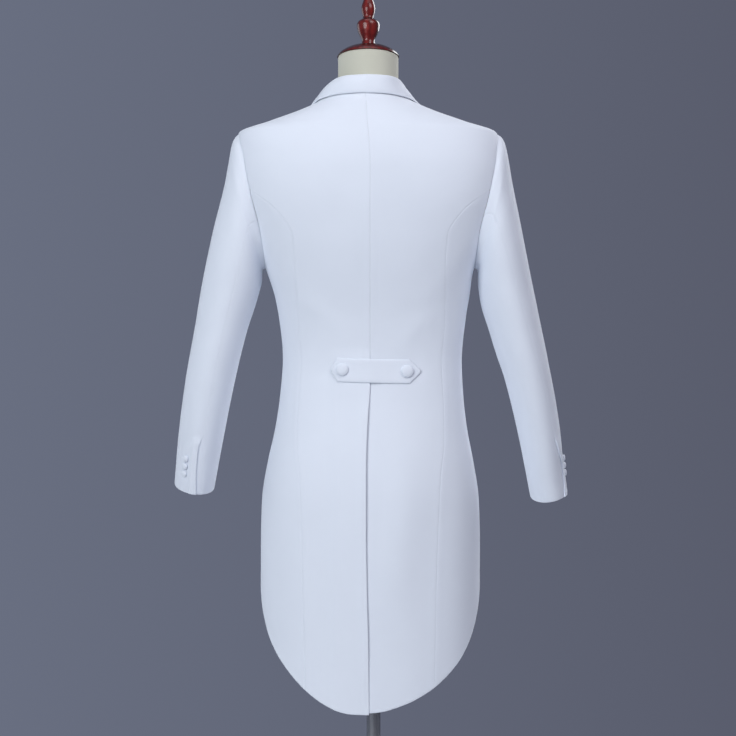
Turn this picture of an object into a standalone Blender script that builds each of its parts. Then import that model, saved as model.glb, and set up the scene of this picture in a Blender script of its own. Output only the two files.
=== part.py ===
"""White tailcoat on a limbless dress form with a turned neck cap, a pole and a round base.

Metres, +Z up. The origin is the centre of the base's underside. The coat's back faces +Y, its
front faces -Y, and the wearer's left side is +X. The coat's body is described by level sections:
each is a rounded oval with its own half width, reach to the back, reach to the front and
squareness. Every cloth piece is a patch of that surface, or of a sleeve's surface, with a wall.
"""

from functools import lru_cache
from math import atan2, cos, pi, radians, sin

import bpy
from mathutils import Vector

# Cloth
WALL = 0.0016
SEAM = 0.0003
LAYER_GAP = 0.0005
LAPEL_GAP = 0.0010

# Heights on the coat
NECKLINE_Z = 1.490
FRONT_NECK_Z = 1.484
ARMHOLE_TOP_Z = 1.4215
ARMHOLE_BOTTOM_Z = 1.190
WAIST_BUTTON_Z = 1.058
BELT_Z = 1.0145

# Level sections of the coat's outer surface
# columns: z, half width, reach to the back, reach to the front, squareness
COAT_SECTIONS = (
    (0.4300, 0.1880, 0.1380, 0.1220, 2.35),
    (0.7000, 0.1870, 0.1360, 0.1220, 2.35),
    (0.8000, 0.1840, 0.1320, 0.1220, 2.35),
    (0.8600, 0.1750, 0.1240, 0.1200, 2.35),
    (0.9200, 0.1630, 0.1100, 0.1160, 2.30),
    (0.9800, 0.1560, 0.0960, 0.1120, 2.30),
    (1.0350, 0.1530, 0.0880, 0.1100, 2.30),
    (1.1000, 0.1590, 0.0930, 0.1150, 2.35),
    (1.1500, 0.1680, 0.1020, 0.1210, 2.40),
    (1.1900, 0.1780, 0.1100, 0.1250, 2.50),
    (1.2400, 0.1970, 0.1180, 0.1270, 2.55),
    (1.3100, 0.2240, 0.1230, 0.1220, 2.55),
    (1.3550, 0.2300, 0.1210, 0.1110, 2.50),
    (1.3900, 0.2280, 0.1150, 0.0990, 2.40),
    (1.4215, 0.2205, 0.1050, 0.0860, 2.25),
    (1.4400, 0.1705, 0.0955, 0.0760, 2.15),
    (1.4600, 0.1150, 0.0830, 0.0650, 2.10),
    (1.4750, 0.0825, 0.0710, 0.0565, 2.00),
    (1.4900, 0.0620, 0.0565, 0.0470, 2.00),
)

# The coat sits a little aslant on its form.
# columns: z, shift of the whole coat along X, shift of its sides with the centre kept
LEAN = (
    (0.4300, 0.0000, 0.0000),
    (0.8400, 0.0000, -0.0010),
    (0.9400, 0.0000, -0.0025),
    (1.0800, 0.0000, -0.0043),
    (1.1400, 0.0000, -0.0038),
    (1.1900, 0.0000, 0.0000),
    (1.3600, 0.0000, 0.0000),
    (1.4500, 0.0058, 0.0000),
    (1.4700, 0.0064, 0.0000),
    (1.4800, 0.0082, 0.0000),
    (1.4970, 0.0085, 0.0000),
    (1.5150, 0.0045, 0.0000),
)

# The lower edge of each side: columns: angle round from the centre back in degrees, z
HEM = {
    "left": (
        (-20.0, 0.4600), (0.0, 0.4508), (12.0, 0.4515), (20.0, 0.4550), (30.0, 0.4660),
        (42.0, 0.4890), (55.0, 0.5255), (66.0, 0.5640), (74.0, 0.6000), (84.0, 0.6450),
        (100.0, 0.7150), (130.0, 0.8250), (155.0, 0.9350), (180.0, 1.0200), (195.0, 1.0300),
    ),
    "right": (
        (-20.0, 0.4570), (0.0, 0.4535), (8.0, 0.4555), (19.0, 0.4630), (28.0, 0.4720),
        (40.0, 0.4900), (55.0, 0.5255), (66.0, 0.5640), (74.0, 0.6000), (84.0, 0.6450),
        (100.0, 0.7150), (130.0, 0.8250), (155.0, 0.9350), (180.0, 1.0200), (195.0, 1.0300),
    ),
}
HEM_START_Z = 0.452

# Side-back seam: columns: z, distance from the centre back along X
SIDE_BACK_SEAM = (
    (0.5000, 0.1070),
    (0.6900, 0.1110),
    (0.8400, 0.1170),
    (0.9000, 0.1230),
    (0.9600, 0.1220),
    (1.0300, 0.1180),
    (1.0900, 0.1230),
    (1.1600, 0.1245),
    (1.2400, 0.1290),
    (1.2800, 0.1530),
    (1.3250, 0.2100),
)
SIDE_FRONT_ANGLE = radians(104)
SHOULDER_ANGLE = radians(90)

# Armhole, an oval seen from the side
ARMHOLE_MIDDLE_Z = (ARMHOLE_TOP_Z + ARMHOLE_BOTTOM_Z) / 2
ARMHOLE_HALF_HEIGHT = (ARMHOLE_TOP_Z - ARMHOLE_BOTTOM_Z) / 2
ARMHOLE_BACK = 0.072
ARMHOLE_FRONT = 0.062
ARMHOLE_GAP = 0.0022

# Centre-back vent: the right back runs under the left one
VENT_CLOSED_Z = 1.022
VENT_OPEN_Z = 0.984
UNDERLAP = 0.045
# Edge of the left back down the vent: columns: z, distance from the centre along X
VENT_EDGE = (
    (0.4500, 0.0017), (0.5600, 0.0030), (0.6500, 0.0050), (0.7500, 0.0066), (0.8500, 0.0066),
    (0.9200, 0.0046), (0.9840, 0.0000),
)
LAYER_RAISE = WALL + 0.0004
RAISE_FULL_X = 0.053
RAISE_END_X = 0.076
RAISE_START_Z = 1.056
RAISE_FULL_Z = 1.030

# Front closing: the left front laps over the right one at the waist button
FRONT_LAP = 0.018
BREAK_Z = 1.078
ROLL_TOP_X = 0.066
LAP_END_Z = 1.250
LAP_FULL_Z = 1.175
LAP_FULL_X = 0.022
LAP_END_X = 0.050

# Lapel: columns: z, distance of the outer edge from the centre front
LAPEL_EDGE = (
    (1.0880, -0.0100),
    (1.1150, 0.0180),
    (1.1500, 0.0440),
    (1.2200, 0.0820),
    (1.3000, 0.1150),
    (1.3600, 0.1360),
    (1.4100, 0.1480),
)
# The lapel's upper edge: columns: share of the width from the roll line, z
LAPEL_TOP = ((0.0, 1.4210), (0.30, 1.4110), (0.60, 1.3990), (1.0, 1.4140))
LAPEL_FOOT_Z = 1.0880
LAPEL_LEAST = 0.006
LAPEL_COLUMNS = 6
LAPEL_ROWS = 14

# Collar fall, half of it: columns: fold x, fold y, fold z, edge angle in degrees, edge z
COLLAR_STATIONS = (
    (0.0000, 0.0572, 1.5150, 0.0, 1.4810),
    (0.0305, 0.0495, 1.5145, 34.0, 1.4800),
    (0.0495, 0.0300, 1.5130, 64.0, 1.4765),
    (0.0598, 0.0030, 1.5090, 90.0, 1.4725),
    (0.0650, -0.0210, 1.4960, 106.0, 1.4595),
    (0.0660, -0.0475, 1.4755, 117.0, 1.4375),
    (0.0545, -0.0880, 1.4270, 127.0, 1.4050),
)
COLLAR_LIFT = 0.0015
COLLAR_ACROSS = 5
COLLAR_HALF_STEPS = 15
STAND_STEPS = 24
STAND_ACROSS = 3
FOLD_ROUNDING = 0.0055
FALL_BULGE = 0.0030
SIDE_STATIONS = (0.6, 2.0)
SIDE_ROUNDING = 0.0052
SIDE_HANG = 0.0018
SIDE_BULGE = 0.0012
FALL_HANG = 0.0070
FRONT_STATION = 5.0
STAND_END_ANGLE = radians(100)
STAND_TOP_DROP = 0.0024

# Sleeve sections from the armhole to the cuff, after the armhole itself
# columns: z of the outer line, z of the inner line, half depth, middle y, drop of the back per depth
SLEEVE_SECTIONS = (
    (1.4215, 1.1900, 0.0670, 0.0050, 0.00),
    (1.4140, 1.1903, 0.0680, 0.0050, 0.00),
    (1.4020, 1.1898, 0.0685, 0.0050, 0.00),
    (1.3820, 1.1885, 0.0700, 0.0050, 0.00),
    (1.3520, 1.1860, 0.0715, 0.0040, 0.00),
    (1.3150, 1.1820, 0.0725, 0.0040, 0.02),
    (1.2700, 1.1750, 0.0720, 0.0030, 0.03),
    (1.2200, 1.1620, 0.0705, 0.0020, 0.04),
    (1.1700, 1.1400, 0.0680, 0.0010, 0.05),
    (1.1200, 1.1050, 0.0650, -0.0010, 0.07),
    (1.0650, 1.0530, 0.0620, -0.0040, 0.10),
    (1.0100, 0.9980, 0.0595, -0.0100, 0.14),
    (0.9550, 0.9430, 0.0575, -0.0180, 0.18),
    (0.9000, 0.8880, 0.0560, -0.0280, 0.20),
    (0.8580, 0.8460, 0.0545, -0.0370, 0.21),
    (0.8216, 0.8097, 0.0535, -0.0450, 0.21),
)
SLEEVE_ROWS = len(SLEEVE_SECTIONS) - 1
BLEND_ROWS = 3.0
SLEEVE_SIT_Z = 1.19
# Outer and inner lines of the hanging sleeves: columns: z, x
OUTER_LINE = {
    "left": (
        (0.8216, 0.3392), (0.9000, 0.3312), (1.0030, 0.3164), (1.0850, 0.3010),
        (1.1670, 0.2868), (1.2490, 0.2690), (1.3310, 0.2486), (1.3720, 0.2412),
        (1.4030, 0.2335), (1.4140, 0.2280), (1.4215, 0.2205),
    ),
    "right": (
        (0.8080, 0.3428), (0.8390, 0.3366), (0.8590, 0.3340), (0.9000, 0.3292),
        (1.0030, 0.3114), (1.0850, 0.2948), (1.1670, 0.2773), (1.2490, 0.2606), (1.3310, 0.2442),
        (1.3720, 0.2375), (1.4030, 0.2330), (1.4140, 0.2290), (1.4215, 0.2205),
    ),
}
INNER_LINE = {
    "left": (
        (0.8097, 0.2708), (0.9000, 0.2528), (1.0030, 0.2310), (1.0850, 0.2103),
        (1.1260, 0.1967), (1.1500, 0.1896), (1.1670, 0.1855), (1.1820, 0.1845),
        (1.1885, 0.1835), (1.1903, 0.1810),
    ),
    "right": (
        (0.7960, 0.2788), (0.9000, 0.2570), (1.0030, 0.2308), (1.0440, 0.2165),
        (1.0850, 0.2038), (1.1260, 0.1908), (1.1500, 0.1866), (1.1670, 0.1848),
        (1.1820, 0.1844), (1.1885, 0.1835), (1.1903, 0.1810),
    ),
}
CUFF_EXTRA_DROP = {"left": 0.0, "right": 0.0136}
EXTRA_DROP_FROM_ROW = 8.0
# Back and front seams of the sleeve: columns: row, angle round the sleeve from its outer line
HIND_SEAM = {
    "left": (
        (0.0, 110.0), (9.0, 102.0), (11.8, 103.0), (12.5, 99.0), (13.0, 92.0), (13.8, 94.0),
        (15.0, 102.0),
    ),
    "right": (
        (0.0, 106.0), (4.0, 92.0), (8.0, 72.0), (10.6, 60.0), (12.0, 54.5), (12.5, 52.0),
        (13.0, 44.0), (13.8, 30.0), (14.4, 33.0), (15.0, 44.0),
    ),
}
FORE_SEAM = {
    "left": ((0.0, -112.0), (15.0, -110.0)),
    "right": ((0.0, -114.0), (15.0, -140.0)),
}

# Half-belt
BELT_MIDDLE_X = -0.009
BELT_HALF_LENGTH = 0.0745
BELT_HALF_HEIGHT = 0.0202
BELT_LEFT_POINT = 0.011
BELT_RIGHT_POINT = 0.018
BELT_BOW = 0.0012
BELT_SLOPE = 0.022
BELT_STEP_X = 0.030
BELT_POINT_SHARE = 0.12
BELT_COLUMNS = 16
BELT_ROWS = 4

# Buttons: radius and height
BELT_BUTTON = (0.0112, 0.0058)
CUFF_BUTTON = (0.0062, 0.0040)
FRONT_BUTTON = (0.0110, 0.0058)
BELT_BUTTON_X = {"left": 0.0460, "right": -0.0612}
CUFF_BUTTON_ANGLE = {"left": 63.0, "right": 8.0}
CUFF_BUTTON_Z = (0.8394, 0.8522, 0.8650)
BUTTON_GAP = 0.0007
CUFF_BUTTON_GAP = 0.0006
CUFF_FIRST_ROW = 6.0

# Dress form
FORM_BOTTOM_Z = 0.800
FORM_DROP = 0.0010
# Ease of the form inside the coat: columns: z, at the sides, at the back, at the front
FORM_EASE = (
    (0.8000, 0.0220, 0.0150, 0.0120),
    (0.9000, 0.0160, 0.0110, 0.0100),
    (1.0300, 0.0090, 0.0070, 0.0070),
    (1.2000, 0.0070, 0.0050, 0.0060),
    (1.3200, 0.0120, 0.0032, 0.0055),
    (1.4000, 0.0130, 0.0032, 0.0055),
    (1.4250, 0.0080, 0.0034, 0.0050),
    (1.4500, 0.0052, 0.0034, 0.0046),
    (1.4780, 0.0052, 0.0034, 0.0046),
)
NECK_RADIUS = 0.0516
NECK_MIDDLE_X = 0.0030
NECK_MIDDLE_Y = 0.002
NECK_TOP_Z = 1.5520
NECK_TILT = radians(7)
# Rings from the shoulders up to the neck
# columns: z, widening, rise of the back per depth, shift along X from the neck's middle
NECK_RINGS = (
    (1.4830, 0.0008, 0.02, 0.0026),
    (1.4900, -0.0006, 0.05, 0.0010),
    (1.5050, 0.0000, 0.08, 0.0000),
    (NECK_TOP_Z, 0.0000, sin(NECK_TILT), 0.0000),
)
FORM_AROUND = 32
FORM_FOOT_SHARE = 0.97
SEAT_GAP = 0.0003
CAP_PROFILE = (
    (0.0000, 0.0202), (0.0120, 0.0197), (0.0240, 0.0180), (0.0350, 0.0146), (0.0430, 0.0103),
    (0.0490, 0.0060), (0.0524, 0.0020), (0.0530, 0.0000), (0.0000, 0.0000),
)
# Finial: columns: radius, height above its foot
FINIAL_PROFILE = (
    (0.0000, 0.1050), (0.0040, 0.1042), (0.0068, 0.1010), (0.0074, 0.0970), (0.0062, 0.0925),
    (0.0056, 0.0885), (0.0072, 0.0830), (0.0094, 0.0765), (0.0113, 0.0705), (0.0119, 0.0650),
    (0.0115, 0.0600), (0.0100, 0.0550), (0.0088, 0.0510), (0.0092, 0.0480), (0.0118, 0.0455),
    (0.0168, 0.0425), (0.0190, 0.0390), (0.0196, 0.0355), (0.0192, 0.0310), (0.0180, 0.0245),
    (0.0152, 0.0182), (0.0125, 0.0135), (0.0109, 0.0090), (0.0109, 0.0050), (0.0117, 0.0020),
    (0.0121, 0.0000), (0.0000, 0.0000),
)
POLE_RADIUS = 0.012
POLE_X = -0.006
BASE_PROFILE = (
    (0.0000, 0.0300), (0.0170, 0.0300), (0.0200, 0.0270), (0.0230, 0.0170),
    (0.0420, 0.0140), (0.1500, 0.0110), (0.1640, 0.0095), (0.1700, 0.0050),
    (0.1690, 0.0000), (0.0000, 0.0000),
)
POLE_SEAT_Z = 0.0303


# Interpolation ------------------------------------------------------------------------------


def smooth_step(value, start, end):
    """0 at start, 1 at end, with level tangents at both."""
    share = min(1.0, max(0.0, (value - start) / (end - start)))
    return share * share * (3 - 2 * share)


def mix(first, second, share):
    return first + (second - first) * share


def curve_value(rows, at, column=1):
    """Smooth value of one column of a table whose first column rises; no overshoot."""
    if at <= rows[0][0]:
        return rows[0][column]
    if at >= rows[-1][0]:
        return rows[-1][column]
    index = max(i for i in range(len(rows) - 1) if rows[i][0] <= at)
    slopes = [
        (rows[i + 1][column] - rows[i][column]) / (rows[i + 1][0] - rows[i][0])
        for i in range(max(0, index - 1), min(len(rows) - 1, index + 2))
    ]
    own = index - max(0, index - 1)
    here = slopes[own]

    def tangent(before, after):
        return 0.0 if before * after <= 0 else 2 * before * after / (before + after)

    start = tangent(slopes[own - 1], here) if own > 0 else here
    end = tangent(here, slopes[own + 1]) if own + 1 < len(slopes) else here
    width = rows[index + 1][0] - rows[index][0]
    s = (at - rows[index][0]) / width
    low = rows[index][column]
    high = rows[index + 1][column]
    return (
        low * (1 + 2 * s) * (1 - s) ** 2
        + start * width * s * (1 - s) ** 2
        + high * s * s * (3 - 2 * s)
        + end * width * s * s * (s - 1)
    )


# The coat's body surface --------------------------------------------------------------------


@lru_cache(maxsize=None)
def section(z):
    """Half width, reach to the back, reach to the front and squareness at height z."""
    return tuple(curve_value(COAT_SECTIONS, z, column) for column in (1, 2, 3, 4))


def surface_point(angle, z):
    """Point of the coat's outer surface, the angle counted from the centre back towards +X."""
    half_width, back, front, square = section(round(z, 7))
    reach = back if cos(angle) >= 0 else front
    across = abs(sin(angle)) / half_width
    along = abs(cos(angle)) / reach
    radius = (across**square + along**square) ** (-1 / square)
    return Vector((radius * sin(angle), radius * cos(angle), z))


def surface_normal(angle, z):
    turn = 1e-3
    rise = 2e-4
    round_it = surface_point(angle + turn, z) - surface_point(angle - turn, z)
    up_it = surface_point(angle, z + rise) - surface_point(angle, z - rise)
    return up_it.cross(round_it).normalized()


def raised_point(angle, z, out):
    """A point on the coat's surface moved out from it."""
    return surface_point(angle, z) + surface_normal(angle, z) * out


def back_angle(x, z):
    """Angle of the back surface's point at x; negative beyond the centre back."""
    half_width, back, _, square = section(round(z, 7))
    depth = back * max(0.0, 1 - (abs(x) / half_width) ** square) ** (1 / square)
    return atan2(x, depth)


def front_angle(x, z):
    """Angle of the front surface's point at x; over 180 degrees beyond the centre front."""
    half_width, _, front, square = section(round(z, 7))
    depth = front * max(0.0, 1 - (min(abs(x), half_width) / half_width) ** square) ** (1 / square)
    return pi - atan2(x, depth)


def side_angle(y, z):
    """Angle of the side surface's point at depth y."""
    half_width, back, front, square = section(round(z, 7))
    reach = back if y >= 0 else front
    across = half_width * max(0.0, 1 - (abs(y) / reach) ** square) ** (1 / square)
    return atan2(across, y)


# Seam lines and edges -----------------------------------------------------------------------


def hem_height(side, angle):
    return curve_value(HEM[side], angle * 180 / pi)


def armhole_depth(z, reach):
    """How far the armhole reaches to the back or front of its middle at height z."""
    share = (z - ARMHOLE_MIDDLE_Z) / ARMHOLE_HALF_HEIGHT
    return reach * max(0.0, 1 - share * share) ** 0.5


def centre_back(side):
    """Left: along the centre back, drifting outwards down the vent. Right: the same above the
    vent, under the left side below."""

    def edge(z):
        if side == "left":
            return back_angle(curve_value(VENT_EDGE, z), z)
        closed = smooth_step(z, VENT_OPEN_Z, VENT_CLOSED_Z)
        return back_angle(mix(-UNDERLAP, SEAM / 2, closed), z)

    return edge


def back_outer_edge(z):
    """Side-back seam, then the armhole's back edge, then the shoulder seam."""
    if z >= ARMHOLE_TOP_Z:
        return SHOULDER_ANGLE
    seam = back_angle(curve_value(SIDE_BACK_SEAM, z), z)
    if z <= SIDE_BACK_TOP_Z:
        return seam
    return side_angle(armhole_depth(z, ARMHOLE_BACK), z)


def side_back_top():
    """Height at which the side-back seam ends in the armhole."""
    low = ARMHOLE_MIDDLE_Z - 0.02
    high = SIDE_BACK_SEAM[-1][0]
    for _ in range(40):
        z = (low + high) / 2
        seam = back_angle(curve_value(SIDE_BACK_SEAM, z), z)
        if seam < side_angle(armhole_depth(z, ARMHOLE_BACK), z):
            low = z
        else:
            high = z
    return low


SIDE_BACK_TOP_Z = side_back_top()


def side_back_edge(z):
    return back_angle(curve_value(SIDE_BACK_SEAM, z), z)


def side_front_edge(_z):
    return SIDE_FRONT_ANGLE


def front_side_edge(z):
    """Side-front seam, then the armhole's front edge, then the shoulder seam."""
    if z >= ARMHOLE_TOP_Z:
        return SHOULDER_ANGLE
    if z <= ARMHOLE_BOTTOM_Z:
        return SIDE_FRONT_ANGLE
    armhole = side_angle(-armhole_depth(z, ARMHOLE_FRONT), z)
    return armhole if z > ARMHOLE_MIDDLE_Z else max(SIDE_FRONT_ANGLE, armhole)


def roll_x(z):
    """Front edge: straight past the waist button, then the lapel's roll line up to the neck."""
    rise = (z - BREAK_Z) / (FRONT_NECK_Z - BREAK_Z)
    return mix(-FRONT_LAP, ROLL_TOP_X, min(1.0, max(0.0, rise)))


def front_inner_edge(z):
    return front_angle(roll_x(z), z)


def vent_raise(x, z):
    """The left back lies over the right one's underlap."""
    return (
        LAYER_RAISE
        * smooth_step(z, RAISE_START_Z, RAISE_FULL_Z)
        * smooth_step(x, RAISE_END_X, RAISE_FULL_X)
    )


def lap_raise(x, z):
    """The left front lies over the right one round the waist button."""
    return (
        LAYER_RAISE
        * smooth_step(z, LAP_END_Z, LAP_FULL_Z)
        * smooth_step(x, LAP_END_X, LAP_FULL_X)
    )


def sit(point):
    """Moves a point of the coat, or of the form in it, by how the worn coat sits."""
    half_width = section(round(min(point.z, NECKLINE_Z), 7))[0]
    share = min(1.0, (point.x / half_width) ** 2)
    shift = curve_value(LEAN, point.z) + curve_value(LEAN, point.z, 2) * share
    return Vector((point.x + shift, point.y, point.z))


# Objects ------------------------------------------------------------------------------------


def make_collection(name):
    collection = bpy.data.collections.new(name)
    bpy.context.scene.collection.children.link(collection)
    return collection


def make_material(name, colour, roughness, metallic=0.0):
    material = bpy.data.materials.new(name)
    material.use_nodes = True
    shader = material.node_tree.nodes["Principled BSDF"]
    shader.inputs["Base Color"].default_value = (*colour, 1.0)
    shader.inputs["Roughness"].default_value = roughness
    shader.inputs["Metallic"].default_value = metallic
    return material


def add_object(name, mesh, material, collection):
    mesh.materials.append(material)
    thing = bpy.data.objects.new(name, mesh)
    collection.objects.link(thing)
    return thing


def add_wall(name, grid, material, collection, mirrored=False, settle=sit):
    """Cloth between an outer and an inner skin, which both follow the surface's own normals, so
    that neighbouring pieces keep an even seam. The grid holds pairs of outer and inner points,
    rows upwards and columns from back to front; a mirrored piece is turned over in X."""
    rows = len(grid)
    columns = len(grid[0])
    skin = rows * columns
    flip = -1 if mirrored else 1
    pairs = [pair for row in grid for pair in row]
    skins = [pair[which] for which in (0, 1) for pair in pairs]
    points = [tuple(settle(Vector((p.x * flip, p.y, p.z)))) for p in skins]
    faces = []
    for r in range(rows - 1):
        for c in range(columns - 1):
            a = r * columns + c
            face = (a, a + columns, a + columns + 1, a + 1)
            faces.append(face)
            faces.append(tuple(i + skin for i in reversed(face)))
    border = list(range(columns))
    border += [r * columns + columns - 1 for r in range(1, rows)]
    border += [(rows - 1) * columns + c for c in range(columns - 2, -1, -1)]
    border += [r * columns for r in range(rows - 2, 0, -1)]
    for a, b in zip(border, border[1:] + border[:1]):
        faces.append((a, b, b + skin, a + skin))
    if mirrored:
        faces = [face[::-1] for face in faces]
    mesh = bpy.data.meshes.new(name)
    mesh.from_pydata(points, [], faces)
    mesh.shade_smooth()
    mesh.set_sharp_from_angle(angle=radians(50))
    return add_object(name, mesh, material, collection)


def add_shell(name, grid, material, collection):
    """Cloth from an open patch of outer points, thickened inwards."""
    columns = len(grid[0])
    points = [tuple(sit(point)) for row in grid for point in row]
    corners = [r * columns + c for r in range(len(grid) - 1) for c in range(columns - 1)]
    faces = [(a, a + columns, a + columns + 1, a + 1) for a in corners]
    mesh = bpy.data.meshes.new(name)
    mesh.from_pydata(points, [], faces)
    mesh.shade_smooth()
    thing = add_object(name, mesh, material, collection)
    solid = thing.modifiers.new("wall", "SOLIDIFY")
    solid.thickness = WALL
    solid.offset = -1.0
    return thing


def add_turned(name, profile, steps, material, collection, location, axis=(0, 0, 1)):
    """A turned piece: radius and height pairs from the top centre, down the outside, to the
    bottom centre."""
    mesh = bpy.data.meshes.new(name)
    points = [(radius, 0.0, height) for radius, height in profile]
    mesh.from_pydata(points, [(i, i + 1) for i in range(len(points) - 1)], [])
    thing = add_object(name, mesh, material, collection)
    thing.location = location
    thing.rotation_euler = Vector(axis).to_track_quat("Z", "Y").to_euler()
    screw = thing.modifiers.new("turn", "SCREW")
    screw.steps = steps
    screw.render_steps = steps
    screw.use_merge_vertices = True
    screw.merge_threshold = 0.00001
    return thing


# Body panels --------------------------------------------------------------------------------


def spread(bottom, top, middle, low_rows, high_rows):
    """Row heights of one column: even steps from the bottom edge to the first middle height,
    the middle heights, and even steps from the last of them to the top edge."""
    below = [mix(bottom, middle[0], i / low_rows) for i in range(low_rows)]
    above = [mix(middle[-1], top, i / high_rows) for i in range(1, high_rows + 1)]
    return below + list(middle) + above


def cloth_pair(angle, z, lift=0.0):
    """Outer and inner point of the cloth at one place of the body."""
    return raised_point(angle, z, lift), raised_point(angle, z, lift - WALL)


def panel_grid(side, back_edge, front_edge, columns, column_heights, lift):
    """One body panel between two edges, in its left-hand form."""
    by_column = []
    for c in range(columns + 1):
        share = c / columns

        def angle_at(z, share=share):
            """Angle at this share of the panel's width, half the seam taken off at each edge."""
            start = back_edge(z)
            end = front_edge(z)
            inset = SEAM / 2 / surface_point((start + end) / 2, z).to_2d().length
            return mix(start + inset, end - inset, share)

        bottom = HEM_START_Z
        for _ in range(16):
            bottom = hem_height(side, angle_at(bottom))
        column = []
        for z in column_heights(side, bottom, angle_at):
            angle = angle_at(z)
            column.append(cloth_pair(angle, z, lift(surface_point(angle, z).x, z)))
        by_column.append(column)
    return [list(row) for row in zip(*by_column)]


def no_lift(_x, _z):
    return 0.0


def armhole_bottom(angle_at):
    """Height at which a column of the side body meets the armhole."""
    low = ARMHOLE_BOTTOM_Z - 0.06
    high = ARMHOLE_MIDDLE_Z + 0.02
    for _ in range(40):
        z = (low + high) / 2
        y = surface_point(angle_at(z), z).y
        reach = ARMHOLE_BACK if y >= 0 else ARMHOLE_FRONT
        inside = (y / reach) ** 2 + ((z - ARMHOLE_MIDDLE_Z) / ARMHOLE_HALF_HEIGHT) ** 2 < 1
        if inside:
            high = z
        else:
            low = z
    return low


BACK_HEIGHTS = (
    0.620, 0.710, 0.790, 0.850, 0.905, 0.955, 0.990, 1.012, 1.030, 1.056, 1.100, 1.150, 1.200,
    1.240, 1.262, 1.284, SIDE_BACK_TOP_Z, 1.355, 1.388, 1.408, 1.4175, 1.4215, 1.430, 1.442,
    1.457, 1.473,
)
FRONT_HEIGHTS = (
    1.095, 1.130, 1.165, 1.200, 1.227, 1.260, 1.300, 1.340, 1.372, 1.400, 1.415, 1.4215, 1.430,
    1.442, 1.457, 1.471,
)
BACK_LOW_ROWS = 4
FRONT_LOW_ROWS = 6


def back_column(_side, bottom, _angle_at):
    return spread(bottom, NECKLINE_Z, BACK_HEIGHTS, BACK_LOW_ROWS, 1)


def front_column(_side, bottom, _angle_at):
    return spread(bottom, FRONT_NECK_Z, FRONT_HEIGHTS, FRONT_LOW_ROWS, 1)


def side_column(side, bottom, angle_at):
    """The side body's rows meet the back's rows along the side-back seam."""
    seam_foot = HEM_START_Z
    for _ in range(16):
        seam_foot = hem_height(side, side_back_edge(seam_foot))
    meeting = [z for z in back_column(side, seam_foot, None) if z <= SIDE_BACK_TOP_Z]
    top = armhole_bottom(angle_at)
    rise = meeting[-1] - meeting[0]
    return [mix(bottom, top, (z - meeting[0]) / rise) for z in meeting]


def build_body(cloth, collection):
    for side in ("left", "right"):
        left = side == "left"
        panels = (
            ("back", centre_back(side), back_outer_edge, 8, back_column,
             vent_raise if left else no_lift),
            ("side", side_back_edge, side_front_edge, 10, side_column, no_lift),
            ("front", front_side_edge, front_inner_edge, 8, front_column,
             lap_raise if left else no_lift),
        )
        for name, back_edge, front_edge, columns, column_heights, lift in panels:
            grid = panel_grid(side, back_edge, front_edge, columns, column_heights, lift)
            add_wall(f"{name}_{side}", grid, cloth, collection, mirrored=not left)


# Sleeves ------------------------------------------------------------------------------------


def armhole_point(turn, shrink, depth):
    """Point of the armhole, turn counted from its top towards the back, moved in from its edge
    by shrink and in from the coat's surface by depth."""
    reach = ARMHOLE_BACK if sin(turn) >= 0 else ARMHOLE_FRONT
    y = (reach - shrink) * sin(turn)
    z = ARMHOLE_MIDDLE_Z + (ARMHOLE_HALF_HEIGHT - shrink) * cos(turn)
    angle = side_angle(y, z)
    return raised_point(angle, z, -depth)


@lru_cache(maxsize=None)
def sleeve_values(side, row):
    """Outer point, inner point, half depth, middle y and drop at a row, which may be between
    two rows of the table."""
    table = [(i, *values) for i, values in enumerate(SLEEVE_SECTIONS)]
    outer_z, inner_z, half_depth, middle_y, drop = (
        curve_value(table, row, column) for column in (1, 2, 3, 4, 5)
    )
    share = max(0.0, (row - EXTRA_DROP_FROM_ROW) / (SLEEVE_ROWS - EXTRA_DROP_FROM_ROW))
    extra = CUFF_EXTRA_DROP[side] * share
    outer_z -= extra
    inner_z -= extra
    outer_x = curve_value(OUTER_LINE[side], outer_z)
    inner_x = curve_value(INNER_LINE[side], inner_z)
    return outer_x, outer_z, inner_x, inner_z, half_depth, middle_y, drop


def plain_sleeve_point(side, row, turn):
    outer_x, outer_z, inner_x, inner_z, half_depth, middle_y, drop = sleeve_values(side, row)
    x = (outer_x + inner_x) / 2 + cos(turn) * (outer_x - inner_x) / 2
    y = middle_y + sin(turn) * half_depth
    z = (outer_z + inner_z) / 2 + cos(turn) * (outer_z - inner_z) / 2
    return Vector((x, y, z - sin(turn) * half_depth * drop))


def sleeve_point(side, row, turn):
    """Outer surface of the left-hand form of a sleeve; the first rows blend from the armhole."""
    point = plain_sleeve_point(side, row, turn)
    if row < BLEND_ROWS:
        start = armhole_point(turn, ARMHOLE_GAP, WALL / 2)
        share = 1 - smooth_step(row, 0.0, BLEND_ROWS)
        point += (start - plain_sleeve_point(side, 0.0, turn)) * share
    return point


def sleeve_normal(side, row, turn):
    before = max(0.0, row - 0.02)
    after = min(float(SLEEVE_ROWS), row + 0.02)
    along = sleeve_point(side, after, turn) - sleeve_point(side, before, turn)
    across = sleeve_point(side, row, turn + 0.01) - sleeve_point(side, row, turn - 0.01)
    return along.cross(across).normalized()


def seam_turn(seams, side, row):
    return radians(curve_value(seams[side], row))


def sit_sleeve(point):
    """A sleeve moves with the coat at its head alone."""
    share = smooth_step(point.z, SLEEVE_SIT_Z, ARMHOLE_MIDDLE_Z)
    return point + (sit(point) - point) * share


SLEEVE_STEPS = (
    0, 0.6, 1.2, 1.9, 2.7, 3.6, 4.6, 5.6, 6.7, 8, 9.3, 10.6, 11.8, 12.5, 13, 13.8, 14.4, 15,
)


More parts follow.
